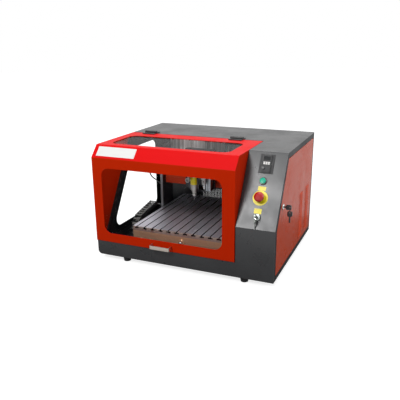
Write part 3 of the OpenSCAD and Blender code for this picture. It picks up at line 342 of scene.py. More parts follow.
def coated(name, rgba, roughness=0.42, grain=600, relief=0.03, spread=0.12, dust=0.2, coat=0.0,
           gloss=0.5):
    """Powder coat, lacquer or moulded plastic: a pebbled skin over one colour."""
    material, tree, shader, place = new_finish(name)
    skin = use_group(tree, pebbles, Vector=place, Grain=grain)
    wear = use_group(tree, marks, Vector=place, Size=9.0)
    base = mixed(tree, skin["Mottle"], shade(rgba, 1 - spread), shade(rgba, 1 + spread))
    if dust:
        base = mixed(tree, maths(tree, "MULTIPLY", wear["Dust"], dust), base, DUST)
    tree.links.new(base, shader.inputs["Base Color"])
    tree.links.new(ranged(tree, wear["Smudge"], 0, 1, roughness, roughness + 0.12),
                   shader.inputs["Roughness"])
    shader.inputs["Specular IOR Level"].default_value = gloss
    shader.inputs["Coat Weight"].default_value = coat
    shader.inputs["Coat Roughness"].default_value = 0.1
    bumped(tree, shader, skin["Height"], relief)
    return material


def metal(name, rgba, roughness=0.3, along=(1, 1, 1), fineness=900, relief=0.02, spread=0.14,
          metallic=1.0, smudge=0.12):
    """Brushed, milled or ground metal. along squeezes the pattern, so a small value on an axis
    draws the lines out along that axis."""
    material, tree, shader, place = new_finish(name)
    mapping = new_node(tree, "ShaderNodeMapping", Vector=place, Scale=along)
    grind = use_group(tree, lines, Vector=mapping.outputs[0], Fineness=fineness)
    wear = use_group(tree, marks, Vector=place, Size=18.0)
    base = mixed(tree, grind["Streak"], shade(rgba, 1 - spread), shade(rgba, 1 + spread))
    tree.links.new(base, shader.inputs["Base Color"])
    tree.links.new(ranged(tree, maths(tree, "ADD", grind["Streak"], wear["Smudge"]), 0, 2,
                          roughness, roughness + smudge), shader.inputs["Roughness"])
    shader.inputs["Metallic"].default_value = metallic
    bumped(tree, shader, grind["Height"], relief)
    return material


def clear_sheet(name, tint, roughness=0.02):
    """Clear plastic that lets the lamps' light through as a thin pane does."""
    material, tree, shader, place = new_finish(name)
    shader.inputs["Base Color"].default_value = tint
    shader.inputs["Transmission Weight"].default_value = 1
    shader.inputs["IOR"].default_value = 1.03
    wear = use_group(tree, marks, Vector=place, Size=7.0)
    tree.links.new(ranged(tree, wear["Smudge"], 0, 1, roughness, roughness + 0.03),
                   shader.inputs["Roughness"])
    through = new_node(tree, "ShaderNodeBsdfTransparent", Color=tint)
    light_path = new_node(tree, "ShaderNodeLightPath")
    both = tree.nodes.new("ShaderNodeMixShader")
    for socket, source in zip(both.inputs, (light_path.outputs["Is Shadow Ray"],
                                            shader.outputs[0], through.outputs[0])):
        tree.links.new(source, socket)
    tree.links.new(both.outputs[0], tree.nodes["Material Output"].inputs["Surface"])
    return material

# %% [markdown]
# ## The machine's finishes
# The cabinet is steel sheet with a dark grey powder coat, which is dull and finely pebbled. The
# hood and the service panel are red, with the smoother coat that covers are given. The table and
# the plates are aluminium, and milled plates keep faint tool lines. Rods and screws are ground
# steel, and small housings are moulded plastic. Each row gives a name, a colour and the settings
# that differ from those of its kind.

# %% Finishes
LONG = 0.02  # how far a line pattern is squeezed along its lines
ALONG_X, ALONG_Y, ALONG_Z = (LONG, 1, 1), (1, LONG, 1), (1, 1, LONG)
BODY = (47, 48, 50)
COATED = (
    ("body_grey", BODY, dict(roughness=0.3, grain=520, spread=0.18, dust=0.3, gloss=0.28)),
    ("panel_grey", BODY, dict(roughness=0.27, grain=520, spread=0.18, dust=0.3)),
    ("side_grey", BODY, dict(roughness=0.4, grain=520, spread=0.18, dust=0.3, gloss=0.04)),
    ("hood_red", (204, 41, 1),
     dict(grain=420, relief=0.006, spread=0.04, dust=0.03, gloss=0.05)),
    ("service_red", (208, 70, 24),
     dict(roughness=0.2, grain=420, relief=0, spread=0.03, dust=0, gloss=0.026)),
    ("foot_rubber", (38, 38, 40),
     dict(roughness=0.62, grain=900, relief=0.06, spread=0.15, dust=0.3)),
    ("motor_black", (34, 34, 37), dict(grain=500)),
    ("gantry_grey", (46, 46, 50),
     dict(roughness=0.34, grain=420, relief=0.02, spread=0.1, dust=0.1, gloss=0.3)),
    ("beam_red", (186, 56, 26),
     dict(roughness=0.36, grain=300, relief=0.012, spread=0.08, dust=0.05, gloss=0.2)),
    ("carriage_dark", (36, 37, 41),
     dict(roughness=0.32, grain=500, relief=0.015, spread=0.1, dust=0.1, gloss=0.3)),
    ("chain_black", (40, 40, 43), dict(roughness=0.46, grain=420, dust=0.5)),
    # The crossbars' pale colour is painted light, which stands in for the light the rungs catch.
    ("chain_bar", (112, 112, 110), dict(grain=420, relief=0.02, dust=0.5)),
    ("box_black", (30, 30, 33), dict(roughness=0.45, grain=420, relief=0.04)),
    ("cable_black", (24, 24, 26), dict(roughness=0.5, grain=900, relief=0.02)),
    ("drive_grey", (34, 34, 36),
     dict(roughness=0.4, grain=800, relief=0.02, spread=0.08, dust=0.1, gloss=0.3)),
    ("display_dark", (14, 18, 20),
     dict(roughness=0.08, grain=300, relief=0, spread=0.02, dust=0)),
    ("control_black", (26, 26, 28),
     dict(roughness=0.28, grain=900, relief=0.008, spread=0.05, dust=0.05, coat=0.2)),
    ("start_green", (2, 186, 150),
     dict(roughness=0.24, grain=300, relief=0, spread=0.05, dust=0, gloss=0.2)),
    ("stop_yellow", (248, 232, 34),
     dict(roughness=0.3, grain=400, relief=0.004, spread=0.04, dust=0.02, gloss=0.35)),
    ("stop_red", (184, 12, 6),
     dict(roughness=0.3, grain=300, relief=0, spread=0.05, dust=0, coat=1, gloss=0.05)),
    ("key_black", (24, 24, 26),
     dict(roughness=0.36, grain=800, relief=0.02, spread=0.1, dust=0.1)),
    ("socket_black", (26, 26, 28), dict(roughness=0.44, grain=700, relief=0.02)),
    ("board_green", (22, 92, 54),
     dict(roughness=0.34, grain=900, relief=0.006, spread=0.1, dust=0.1, coat=0.3)),
    ("hinge_black", (20, 20, 22),
     dict(roughness=0.38, grain=700, relief=0.01, spread=0.1, dust=0.25)),
    ("white_plastic", (186, 188, 186),
     dict(roughness=0.32, grain=700, relief=0.008, spread=0.03)),
    ("plate_white", (232, 232, 230),
     dict(roughness=0.3, grain=500, relief=0, spread=0, dust=0)),
    ("lamp_face", (44, 50, 52), dict(roughness=0.1, grain=300, relief=0, spread=0.05, dust=0)),
)
METAL = (
    ("table_alloy", (202, 198, 208), dict(roughness=0.37, along=ALONG_Y, fineness=400, relief=0,
                                          spread=0.05, metallic=0.9, smudge=0.08)),
    ("plate_alloy", (126, 128, 132), dict(roughness=0.34, along=ALONG_X, fineness=800)),
    # The warm brown of the bed plates is painted: it stands in for the red hood's reflection and
    # warm light on the aluminium.
    ("bed_alloy", (200, 168, 138),
     dict(roughness=0.34, along=ALONG_X, fineness=800, relief=0.004, metallic=0.6)),
    ("back_alloy", (248, 244, 240), dict(roughness=0.36, along=ALONG_Z, fineness=200,
                                         relief=0.01, spread=0.8, metallic=0.9)),
    ("bright_steel", (180, 181, 184),
     dict(roughness=0.16, fineness=1500, relief=0.004, spread=0.05)),
    ("control_chrome", (176, 184, 182),
     dict(roughness=0.14, fineness=1500, relief=0.002, spread=0.05)),
    ("key_metal", (128, 133, 128), dict(along=ALONG_Z, relief=0.006, metallic=0.4)),
    ("supply_metal", (168, 170, 172), dict(roughness=0.42, along=ALONG_X, fineness=500)),
    ("handle_steel", (200, 192, 182), dict(roughness=0.24, along=ALONG_X, relief=0.01)),
    ("spindle_steel", (150, 148, 144),
     dict(roughness=0.42, fineness=1200, relief=0.004, spread=0.06)),
    ("carbide", (130, 130, 134),
     dict(roughness=0.22, along=ALONG_Z, fineness=1500, relief=0.004)),
)
finish = {"clear_pane": clear_sheet("clear_pane", (0.99, 0.996, 0.994, 1))}
finish.update({name: coated(name, colour(*rgb), **look) for name, rgb, look in COATED})
finish.update({name: metal(name, colour(*rgb), **look) for name, rgb, look in METAL})
for part in frame["record"]["subparts"]:
    mesh = nodes[part["node"]].data
    mesh.materials.clear()
    mesh.materials.append(finish[part["material_slot"]])
for node, name in (("bed_end_plates", "bed_alloy"), ("collet_nut", "spindle_steel"),
                   ("front_fascia", "panel_grey"), ("right_wall", "side_grey"),
                   ("left_wall", "side_grey")):
    nodes[node].data.materials[0] = finish[name]
print(len(finish), "finishes")

# %% [markdown]
# ## Finishes that change from place to place
# Some parts are one mesh, and yet their look isn't the same all over. A mask made from the
# point's place, or from the way its face looks, decides where a second colour lies. Some of these
# colours are painted light or shade. The table's slots and chambers are painted dark below its top,
# as painted shade, and the front faces of its slats get a warm tint, a painted reflection of the
# red hood. The gantry's plates have bare milled front edges. The hood's faces that look up get a
# crimson tint, painted light from above, and the louvres of the service panel are painted a
# brighter orange than the flat sheet, painted light on them. The drive's sides are painted darker
# than its face, as painted shade. The black parts on the circuit board stand up from the green
# board, and two of the gantry's wires have coloured sheaths.

# %% Helpers for masks
def paint_over(name, mask, red, green, blue):
    """Lays one more colour over a finish where the mask is 1."""
    tree = finish[name].node_tree
    socket = tree.nodes["Principled BSDF"].inputs["Base Color"]
    under = socket.links[0].from_socket
    tree.links.new(mixed(tree, mask, under, colour(red, green, blue)), socket)


def place_axis(tree, axis):
    place = new_node(tree, "ShaderNodeTexCoord").outputs["Object"]
    return new_node(tree, "ShaderNodeSeparateXYZ", Vector=place).outputs[axis]


def facing_axis(tree, axis):
    normal = new_node(tree, "ShaderNodeNewGeometry").outputs["Normal"]
    return new_node(tree, "ShaderNodeSeparateXYZ", Vector=normal).outputs[axis]

# %% Slots, edges, louvres, board parts and wires
SLOT_SHADE = 0.3 * MM  # the table is dark from this far below its top
LOUVRE_RISE = 2.4 * MM  # the part of a louvre's height that is painted
CHIP_FOOT = 10.2 * MM  # from the back of the circuit board's mesh to where its chips begin
FIRST_WIRE = 15.5 * MM  # from the electrical box's edge to the end of the first wire

tree = finish["table_alloy"].node_tree
table_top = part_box("table_slats")[1].z
# Painted shade: the slots and chambers below the table's top are painted near black.
painted_slot_shade = maths(tree, "LESS_THAN", place_axis(tree, "Z"), table_top - SLOT_SHADE)
not_an_end = maths(tree, "LESS_THAN", maths(tree, "ABSOLUTE", facing_axis(tree, "Y")), 0.5)
# Painted reflection: the slats' front faces get a warm tint that stands in for the red hood
# mirrored in them.
paint_over("table_alloy", maths(tree, "LESS_THAN", facing_axis(tree, "Y"), -0.5), 176, 164, 156)
paint_over("table_alloy", maths(tree, "MULTIPLY", painted_slot_shade, not_an_end), 20, 20, 22)

tree = finish["gantry_grey"].node_tree
milled_edge = maths(tree, "LESS_THAN", facing_axis(tree, "Y"), -0.9)
paint_over("gantry_grey", milled_edge, 150, 152, 156)

tree = finish["hood_red"].node_tree
# Painted light: faces that look up get a crimson tint, which stands in for the light from above.
painted_top_light = ranged(tree, facing_axis(tree, "Z"), 0.3, 0.6, 0, 1)
paint_over("hood_red", painted_top_light, 224, 22, 24)

tree = finish["service_red"].node_tree
# Painted light: the outer part of the louvres gets a brighter orange, which stands in for the light
# on them.
panel_face = max(v.co.x for v in nodes["service_panel"].data.vertices) - LOUVRE_RISE
raised = maths(tree, "GREATER_THAN", place_axis(tree, "X"), panel_face)
paint_over("service_red", raised, 228, 74, 20)

tree = finish["drive_grey"].node_tree
normal = new_node(tree, "ShaderNodeNewGeometry").outputs["Normal"]
slope = new_node(tree, "ShaderNodeVectorMath", Vector=normal)
slope.operation = "DOT_PRODUCT"
slope.inputs[1].default_value = -Vector(joints["start_push"]["axis"])
# Painted shade: faces that don't look out of the panel are painted near black, for the shade on the
# drive's sides.
paint_over("drive_grey", maths(tree, "LESS_THAN", slope.outputs["Value"], 0.9), 8, 8, 9)

tree = finish["board_green"].node_tree
board_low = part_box("controller_board")[0]
on_board = maths(tree, "GREATER_THAN", place_axis(tree, "X"), board_low.x + CHIP_FOOT)
paint_over("board_green", on_board, 26, 26, 28)

tree = finish["cable_black"].node_tree
box_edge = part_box("gantry_box")[0].x
coloured_wires = maths(tree, "GREATER_THAN", place_axis(tree, "X"), box_edge)
first_wire = maths(tree, "LESS_THAN", place_axis(tree, "X"), box_edge + FIRST_WIRE)
paint_over("cable_black", coloured_wires, 206, 206, 200)
paint_over("cable_black", maths(tree, "MULTIPLY", coloured_wires, first_wire), 38, 122, 122)
print("table top at", round(table_top, 4), "- board from x", round(board_low.x, 4))

# %% [markdown]
# ## Tools for small pieces
# Small parts are made from a few basic shapes: a block with rounded edges, a turned body and a
# screw head. Each is built once, as a bmesh, and then stamped wherever it is needed. A turned body
# is a profile that bmesh spins round the Z axis, as a lathe would.

# %% Stamps
def stamp(bm, part, places):
    """Adds a copy of the bmesh part to bm at each matrix in places."""
    mesh = bpy.data.meshes.new("stamp")
    for place in places:
        copy = part.copy()
        copy.transform(place)
        copy.to_mesh(mesh)
        copy.free()
        bm.from_mesh(mesh)
    bpy.data.meshes.remove(mesh)
    part.free()


def at(*place):
    return Matrix.Translation(Vector(place))


def looking(point, direction):
    """A frame at point whose Z axis points along direction."""
    return at(*point) @ Vector(direction).to_track_quat("Z", "Y").to_matrix().to_4x4()


def new_object(name, bm, materials, sharp):
    """Turns the bmesh into an object with smooth faces and with edges that are sharp from an
    angle on."""
    bmesh.ops.recalc_face_normals(bm, faces=bm.faces)
    mesh = bpy.data.meshes.new(name)
    bm.to_mesh(mesh)
    bm.free()
    for material in materials:
        mesh.materials.append(finish[material])
    mesh.shade_smooth()
    mesh.set_sharp_from_angle(angle=radians(sharp))
    return linked(name, mesh)


def piece(name, bm, material, body, sharp=35):
    """Makes the bmesh a finished piece that rides on a body of the machine."""
    made = new_object(name, bm, [material], sharp)
    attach(made, body)
    print(name, len(made.data.polygons), "faces on", body)
    return made


def stamped(name, parts, material, body, sharp=35):
    """One piece from pairs of a shape and the places where it is stamped."""
    bm = bmesh.new()
    for shape, places in parts:
        stamp(bm, shape, places)
    return piece(name, bm, material, body, sharp)

# %% Basic shapes
def round_edges(bm, edges, radius, segments):
    bmesh.ops.bevel(bm, geom=edges, offset=radius, segments=segments, affect="EDGES", profile=0.5,
                    material=-1)


def sweep(bm, corners, **path):
    """Makes a face from its corners and spins it into a solid."""
    face = bm.faces.new([bm.verts.new(corner) for corner in corners])
    bmesh.ops.spin(bm, geom=[face] + list(face.edges) + list(face.verts), use_merge=False, **path)


def rounded_block(size, radius, axis=2, segments=4, rim=0.0):
    """A block centred on the origin. The edges along one axis are rounded by radius, and then the
    others, if wanted, by rim."""
    bm = bmesh.new()
    bmesh.ops.create_cube(bm, size=1)
    bmesh.ops.scale(bm, vec=size, verts=bm.verts)

    def along(edge):
        return abs((edge.verts[0].co - edge.verts[1].co).normalized()[axis])

    round_edges(bm, [e for e in bm.edges if along(e) > 0.9], radius, segments)
    if rim:
        round_edges(bm, [e for e in bm.edges if along(e) < 0.1], rim, 2)
    return bm


def turned(profile, steps=32):
    """A body turned round Z from (radius, height) points in millimetres."""
    bm = bmesh.new()
    verts = [bm.verts.new((r * MM, 0, z * MM)) for r, z in profile]
    edges = [bm.edges.new(pair) for pair in zip(verts, verts[1:])]
    bmesh.ops.spin(bm, geom=verts + edges, cent=(0, 0, 0), axis=(0, 0, 1), angle=2 * pi,
                   steps=steps, use_merge=True)
    bmesh.ops.remove_doubles(bm, verts=bm.verts, dist=1e-6)
    return bm

# %% Screw heads
def cap_screw(head):
    """The head of a socket screw, standing on the XY plane, with all sizes as shares of the head's
    width. The 24 corners of the inset top move onto a hexagon, and a second inset with a depth
    sinks the socket."""
    bm = bmesh.new()
    height = head * 0.6
    bmesh.ops.create_cone(bm, cap_ends=True, segments=24, radius1=head / 2, radius2=head / 2,
                          depth=height, matrix=at(0, 0, height / 2))
    top = max(bm.faces, key=lambda f: f.calc_center_median().z)
    round_edges(bm, list(top.edges), head * 0.06, 2)
    top = max(bm.faces, key=lambda f: f.calc_center_median().z)
    bmesh.ops.inset_region(bm, faces=[top], thickness=head * 0.15)
    for vert in top.verts:
        bearing = atan2(vert.co.y, vert.co.x) % (pi / 3) - pi / 6
        vert.co.xy = vert.co.xy.normalized() * head * 0.26 / cos(bearing)
    bmesh.ops.inset_region(bm, faces=[top], thickness=head * 0.01, depth=-height * 0.6)
    return bm


def screws(name, places, head, body, material="bright_steel"):
    return stamped(name, [(cap_screw(head), places)], material, body)

# %% [markdown]
# ## Frames on sloping faces
# The hood's bevel and the control panel lean back. Labels and controls are easy to place in a
# frame that lies on such a face, with X to the right, Y up the slope and Z outwards. The frame is
# found on the part's own mesh: the outermost face with about the right direction gives the plane.

# %% Sloping frames
BEVEL_LEAN = Vector((0, -0.73, 0.683)).normalized()  # about the way the hood's bevel faces


def slope_frame(node, lean):
    """The frame starts where the slope meets the plane of the part's front."""
    faces = [p for p in nodes[node].data.polygons if p.normal.dot(lean) > 0.999]
    outer = max(faces, key=lambda p: p.center.dot(lean))
    normal = outer.normal.copy()
    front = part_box(node)[0].y
    foot = Vector((0, front, (outer.center.dot(normal) - normal.y * front) / normal.z))
    right = Vector((1, 0, 0))
    return at(*foot) @ Matrix((right, normal.cross(right), normal)).transposed().to_4x4()


def box_in(frame_matrix, node):
    """Lowest and highest corner of a part, measured in a frame."""
    inverse = frame_matrix.inverted()
    points = [inverse @ v.co for v in nodes[node].data.vertices]
    return [Vector([pick(p[k] for p in points) for k in range(3)]) for pick in (min, max)]


bevel = slope_frame("hood_shell", BEVEL_LEAN)
panel = slope_frame("front_fascia", -Vector(joints["start_push"]["axis"]))
print("bevel starts at z", round(bevel.translation.z, 4), "panel at z",
      round(panel.translation.z, 4))

# %% [markdown]
# ## Plates and labels
# A white plate sits at the left end of the hood's bevel, and two yellow labels lie above and below
# the emergency stop. They are thin sheets with rounded corners, and they are left blank. A label
# has a slight thickness, so that its edge catches the light as a real sticker's does.

# %% Plates and labels
def sheet_on(slope, x, y, width, height, thick=0.5, radius=2):
    """A thin plate with its middle at x, y on the slope. Its own sizes are in millimetres."""
    return rounded_block(mm(width, height, thick), radius * MM), [slope @ at(x, y, thick * MM / 2)]


hood_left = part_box("hood_shell")[0].x
stamped("hood_plate", [sheet_on(bevel, hood_left + 109.5 * MM, 33 * MM, 181, 46, 0.8, 1.5)],
        "plate_white", "hood")

stop_low, stop_high = box_in(panel, "stop_disc")
stop_x, stop_u = (stop_low.x + stop_high.x) / 2, (stop_low.y + stop_high.y) / 2
above_and_below = ((0.5, 38.5, 31, 16), (-1, -52, 30, 20))  # x, up the slope, width, height
stamped("control_labels", [sheet_on(panel, stop_x + x * MM, stop_u + u * MM, width, height)
                           for x, u, width, height in above_and_below], "stop_yellow", "root")

# %% [markdown]
# ## The speed drive's face
# The drive unit has a recessed display window above six pale keys in two rows. The window is glossy
# dark plastic, and the keys are a raised membrane. A rubber gasket shows round the drive's foot,
# and it has an ear with a screw on each side.

# %% Drive face
WINDOW_SIZE, KEY_SIZE, EARS_SIZE = mm(26.4, 14.4, 0.5), mm(7.8, 5, 0.8), mm(50, 11, 1.2)
WINDOW_SINK, KEY_LIFT, GASKET_HEIGHT, GASKET_EDGE = mm(0.75, 0.4, 3.4, 4)
drive_low, drive_high = box_in(panel, "drive_unit")
drive_mid = (drive_low + drive_high) / 2
face = drive_high.z


def on_drive(x, u, height):
    """A place x and u millimetres from the drive's middle, at a height above the panel's frame."""
    return panel @ at(drive_mid.x + x * MM, drive_mid.y + u * MM, height)


window = rounded_block(WINDOW_SIZE, 0.6 * MM)
stamped("drive_window", [(window, [on_drive(0, 21.5, face - WINDOW_SINK)])], "display_dark",
        "root")
outline = [panel.inverted() @ v.co for v in nodes["drive_unit"].data.vertices]
rim = [p for p in outline if p.z > face - 0.1 * MM]
around = [max(p[k] for p in rim) - min(p[k] for p in rim) + GASKET_EDGE for k in (0, 1)]
middle = [on_drive(0, 0, GASKET_HEIGHT)]
stamped("drive_gasket", [(rounded_block((*around, EARS_SIZE[2]), 2 * MM), middle),
                         (rounded_block(EARS_SIZE, 2 * MM), middle)], "hinge_black", "root")
keys = [on_drive(i * 9.2, u, face + KEY_LIFT) for i in (-1, 0, 1) for u in (-1.5, 4.5)]
stamped("drive_keys", [(rounded_block(KEY_SIZE, 1 * MM, rim=0.25 * MM), keys)], "plate_white",
        "root")
screws("drive_screws", [on_drive(s * 20.5, 0, 4 * MM) for s in SIDES], 4 * MM, "root",
       "control_black")

# %% [markdown]
# ## The spindle head
# A plain yellow label goes round the spindle's front below its clamp. The work lamp has a ring of
# small light-emitting diodes on a dark glossy face, and the sensor has a dark lens in its bore.

# %% Spindle head
LABEL_HEIGHT, LABEL_OFF, LABEL_THICK = mm(34, 0.02, 0.4)
LABEL_START, LABEL_ANGLE = radians(-210), radians(176)
FACE_DEPTH, DIODE_DEPTH, DIODE_RING = mm(1.9, 1.4, 5)
axis_point = Vector(joints["spindle_turn"]["pos_m"])
clamp_low, clamp_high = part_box("spindle_clamp")
body_low, body_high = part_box("spindle_body")
radius = (body_high.x - body_low.x) / 2
label_top = clamp_low.z - 5 * MM
bm = bmesh.new()
start = at(axis_point.x, axis_point.y, label_top) @ Matrix.Rotation(LABEL_START, 4, "Z")
strip = [start @ Vector((radius + r, 0, z)) for r, z in (
    (LABEL_OFF, -LABEL_HEIGHT), (LABEL_THICK, -LABEL_HEIGHT), (LABEL_THICK, 0), (LABEL_OFF, 0))]
sweep(bm, strip, cent=start.translation, axis=(0, 0, 1), angle=LABEL_ANGLE, steps=36)
piece("spindle_band", bm, "stop_yellow", "z_slide")

FORWARD = (0, -1, 0)
lamp_low, lamp_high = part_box("work_lamp")
bezel = (lamp_high.x - lamp_low.x) / 2
lamp_at = Vector(((lamp_low.x + lamp_high.x) / 2, lamp_low.y, lamp_low.z + bezel))
stamped("lamp_face", [(turned([(0, 0), (7.4, 0), (7.4, 0.6), (0, 0.6)]),
                       [looking(lamp_at + Vector((0, FACE_DEPTH, 0)), FORWARD)])],
        "lamp_face", "z_slide")
diodes = [looking(lamp_at + Vector((DIODE_RING * cos(a), DIODE_DEPTH, DIODE_RING * sin(a))),
                  FORWARD) for a in (k * pi / 3 for k in range(6))]
dome = turned([(0, 1.2), (0.8, 0.9), (1.3, 0.2), (1.3, 0), (0, 0)], 16)
stamped("lamp_diodes", [(dome, diodes)], "white_plastic", "z_slide")

sensor_low, sensor_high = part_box("sensor_block")
eye = Vector((sensor_high.x - 8 * MM, sensor_low.y + 1.5 * MM, sensor_low.z + 14 * MM))
lens = turned([(0, 0.8), (2, 0.5), (3.4, 0), (3.4, -1), (0, -1)], 24)
stamped("sensor_lens", [(lens, [looking(eye, FORWARD)])], "display_dark", "z_slide")

# %% [markdown]
# ## Lead screws
# A lead screw is the part that turns a motor's rotation into travel, so its thread is what the
# eye looks for. The machine's screws come as plain bars at the thread's outer diameter. Each is
# replaced by its copy with a thinner core, round which a small trapezoid is swept as a helix:
# bmesh's spin moves the profile along the axis at every step when it is given a dvec.

# %% Lead screws
def lead_screw(node, joint, outer, pitch=5 * MM, depth=1.2 * MM, steps_per_turn=12):
    axis, foot = Vector(joints[joint]["axis"]), Vector(joints[joint]["pos_m"])
    bm = bmesh.new()
    bm.from_mesh(nodes[node].data)
    bmesh.ops.remove_doubles(bm, verts=bm.verts, dist=1e-6)

    def away(vert):
        arm = vert.co - foot
        return arm - axis * arm.dot(axis)

    thread = [v for v in bm.verts if abs(away(v).length - outer / 2) < 0.02 * MM]
    ends = [(v.co - foot).dot(axis) for v in thread]
    for vert in thread:
        vert.co -= away(vert) * (2 * depth / outer)
    length = max(ends) - min(ends) - pitch
    steps = int(length / pitch * steps_per_turn)
    side = axis.orthogonal().normalized()
    start = foot + axis * (min(ends) + pitch / 2)
    core, tip = outer / 2 - depth - 0.2 * MM, outer / 2
    ridge = [start + side * r + axis * pitch * share for r, share in (
        (core, -0.34), (tip, -0.17), (tip, 0.17), (core, 0.34))]
    sweep(bm, ridge, cent=foot, axis=axis, dvec=axis * (length / steps),
          angle=2 * pi * length / pitch, steps=steps)
    made = piece(node + "_threaded", bm, "bright_steel", nodes[node]["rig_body"], 30)
    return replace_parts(made, node)


lead_screw("y_screw", "y_screw_turn", 16 * MM)
lead_screw("x_screw", "x_screw_turn", 16 * MM)
lead_screw("z_screw", "z_screw_turn", 10 * MM, depth=1 * MM)

# %% [markdown]
# ## Gauze behind the vent
# A black woven wire gauze covers the rear wall's vent slots from the inside. It is painted shade:
# it dims the white backdrop seen through the slots, as the shade behind the machine would.
# Its wires cross at right angles, so it's two rows of thin rods, held by a flat frame. Four meshes
# to a slot keep the two patterns in step, so that they make no bands when seen through each other.

# %% Vent gauze
VENT_BAND, VENT_RIGHT = (0.12, 0.19), 0.1  # the slots' corners lie between and left of these
wire, hem, hem_thick = mm(0.6, 5, 1.2)
inner_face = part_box("rear_wall")[0].y
slots = [v.co for v in nodes["rear_wall"].data.vertices
         if VENT_BAND[0] < v.co.z < VENT_BAND[1] and v.co.x < VENT_RIGHT]
low, high = [Vector((pick(v.x for v in slots), inner_face, pick(v.z for v in slots)))
             for pick in (min, max)]
size, middle = high - low, (high + low) / 2
across = sorted({round(v.x, 5) for v in slots})
slot_pitch = across[2] - across[0]
wire_gap = slot_pitch / 4
upright = rounded_block((wire, wire, size.z + hem), 0.1 * MM, segments=1)
level = rounded_block((size.x + hem, wire, wire), 0.1 * MM, axis=0, segments=1)
parts = [(upright, [at(low.x + k * wire_gap, inner_face - wire, middle.z)
                    for k in range(int(size.x / wire_gap) + 1)]),
         (level, [at(middle.x, inner_face - 0.7 * wire, low.z + k * wire_gap)
                  for k in range(int(size.z / wire_gap) + 1)])]
for side in SIDES:
    beside = side * (size + Vector((hem, 0, hem))) / 2
    parts += [(rounded_block((hem, hem_thick, size.z), 0.2 * MM),
               [at(middle.x + beside.x, inner_face - hem_thick / 2, middle.z)]),
              (rounded_block((size.x + 2 * hem, hem_thick, hem), 0.2 * MM, axis=0),
               [at(middle.x, inner_face - hem_thick / 2, middle.z + beside.z)])]
# Painted shade: the black gauze dims the backdrop seen through the vent.
stamped("vent_gauze", parts, "hinge_black", "root")

# %% [markdown]
# ## Drag chain
# The chain carries the gantry's cables. A real link has two side plates with round ends, a crossbar
# above and below, and a pin boss where it joins the next one. The crossbars are painted paler: that
# is painted light, which stands in for the light the rungs catch. The plain links of the machine's
# mesh say where each link is and how it is turned, and a detailed link is stamped there. Its Z axis
# points out of the loop, so that its Y axis always leads on to the next link.
# The lower run lies on the floor and the upper one travels with the gantry.

# %% Find the plain links
LINK_CORNERS = 16  # a link has at least this many corners, and the end bracket has fewer


def islands(bm):
    """The separate bodies of a bmesh, as lists of faces in an order that is the same each run."""
    seen, found = set(), []
    for first in bm.faces:
        if first in seen:
            continue
        seen.add(first)
        body = [first]
        for face in body:
            for near in (f for e in face.edges for f in e.link_faces if f not in seen):
                seen.add(near)
                body.append(near)
        found.append(body)
    return found


plain = bmesh.new()
plain.from_mesh(nodes["drag_chain"].data)
bmesh.ops.remove_doubles(plain, verts=plain.verts, dist=1e-6)
loop_middle = sum((v.co for v in plain.verts), Vector()) / len(plain.verts)
link_places, bracket = [], []
for body in islands(plain):
    corners = list(dict.fromkeys(v for f in body for v in f.verts))
    if len(corners) < LINK_CORNERS:
        bracket = body
        continue
    centre = sum((v.co for v in corners), Vector()) / len(corners)
    flat = [f for f in body if abs(f.normal.x) < 0.1]
    widest = max(f.calc_area() for f in flat)
    outside = max((f for f in flat if f.calc_area() > 0.9 * widest),
                  key=lambda f: f.normal.dot(centre - loop_middle)).normal
    right = Vector((1, 0, 0))
    turn = Matrix((right, outside.cross(right), outside)).transposed().to_4x4()
    link_places.append(at(*centre) @ turn)
print(len(link_places), "links and an end bracket with", len(bracket), "faces")

# %% Detailed chain
LOWER_RUN = 0.03  # corners below this height belong to the lower run
PLATE, PLATE_ROUND = mm(3, 19.6, 22), 7 * MM
BAR_DEPTH, BAR_THICK, BAR_HEIGHT, PIN_AT = mm(9, 2.6, 9.5, 10)
chain_bm = bmesh.new()
half_w = max((v.co.x for v in plain.verts if v.co.z < LOWER_RUN)) - link_places[0].translation.x
both_sides = list(product(link_places, SIDES))
stamp(chain_bm, rounded_block(PLATE, PLATE_ROUND, axis=0, segments=5),
      [place @ at(s * (half_w - PLATE[0] / 2), 0, 0) for place, s in both_sides])
# The crossbars take the second, paler finish: painted light on the rungs.
crossbar = rounded_block((2 * half_w - 5 * MM, BAR_DEPTH, BAR_THICK), 0.8 * MM, axis=0, segments=2)
for bar_face in crossbar.faces:
    bar_face.material_index = 1
stamp(chain_bm, crossbar, [place @ at(0, 0, s * BAR_HEIGHT) for place, s in both_sides])
pin = turned([(0, 0.2), (2, 0.2), (2.4, 0.6), (4.2, 0.6), (4.6, 0.2), (4.6, -0.5), (0, -0.5)], 20)
stamp(chain_bm, pin, [place @ at(s * half_w, PIN_AT, 0) @ Matrix.Rotation(s * pi / 2, 4, "Y")
                      for place, s in both_sides])
bracket = set(bracket)
bmesh.ops.delete(plain, geom=[f for f in plain.faces if f not in bracket], context="FACES")
bracket_mesh = bpy.data.meshes.new("bracket")
plain.to_mesh(bracket_mesh)
plain.free()
chain_bm.from_mesh(bracket_mesh)
chain = new_object("cable_chain", chain_bm, ["chain_black", "chain_bar"], 35)
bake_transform(chain)
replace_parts(chain, "drag_chain")
print("chain has", len(chain.data.polygons), "faces")

# %% [markdown]
# ## Screws
# Screws show how a machine is put together. Each sits where a rod, plate or motor is held, and the
# places come from the boxes of those parts.

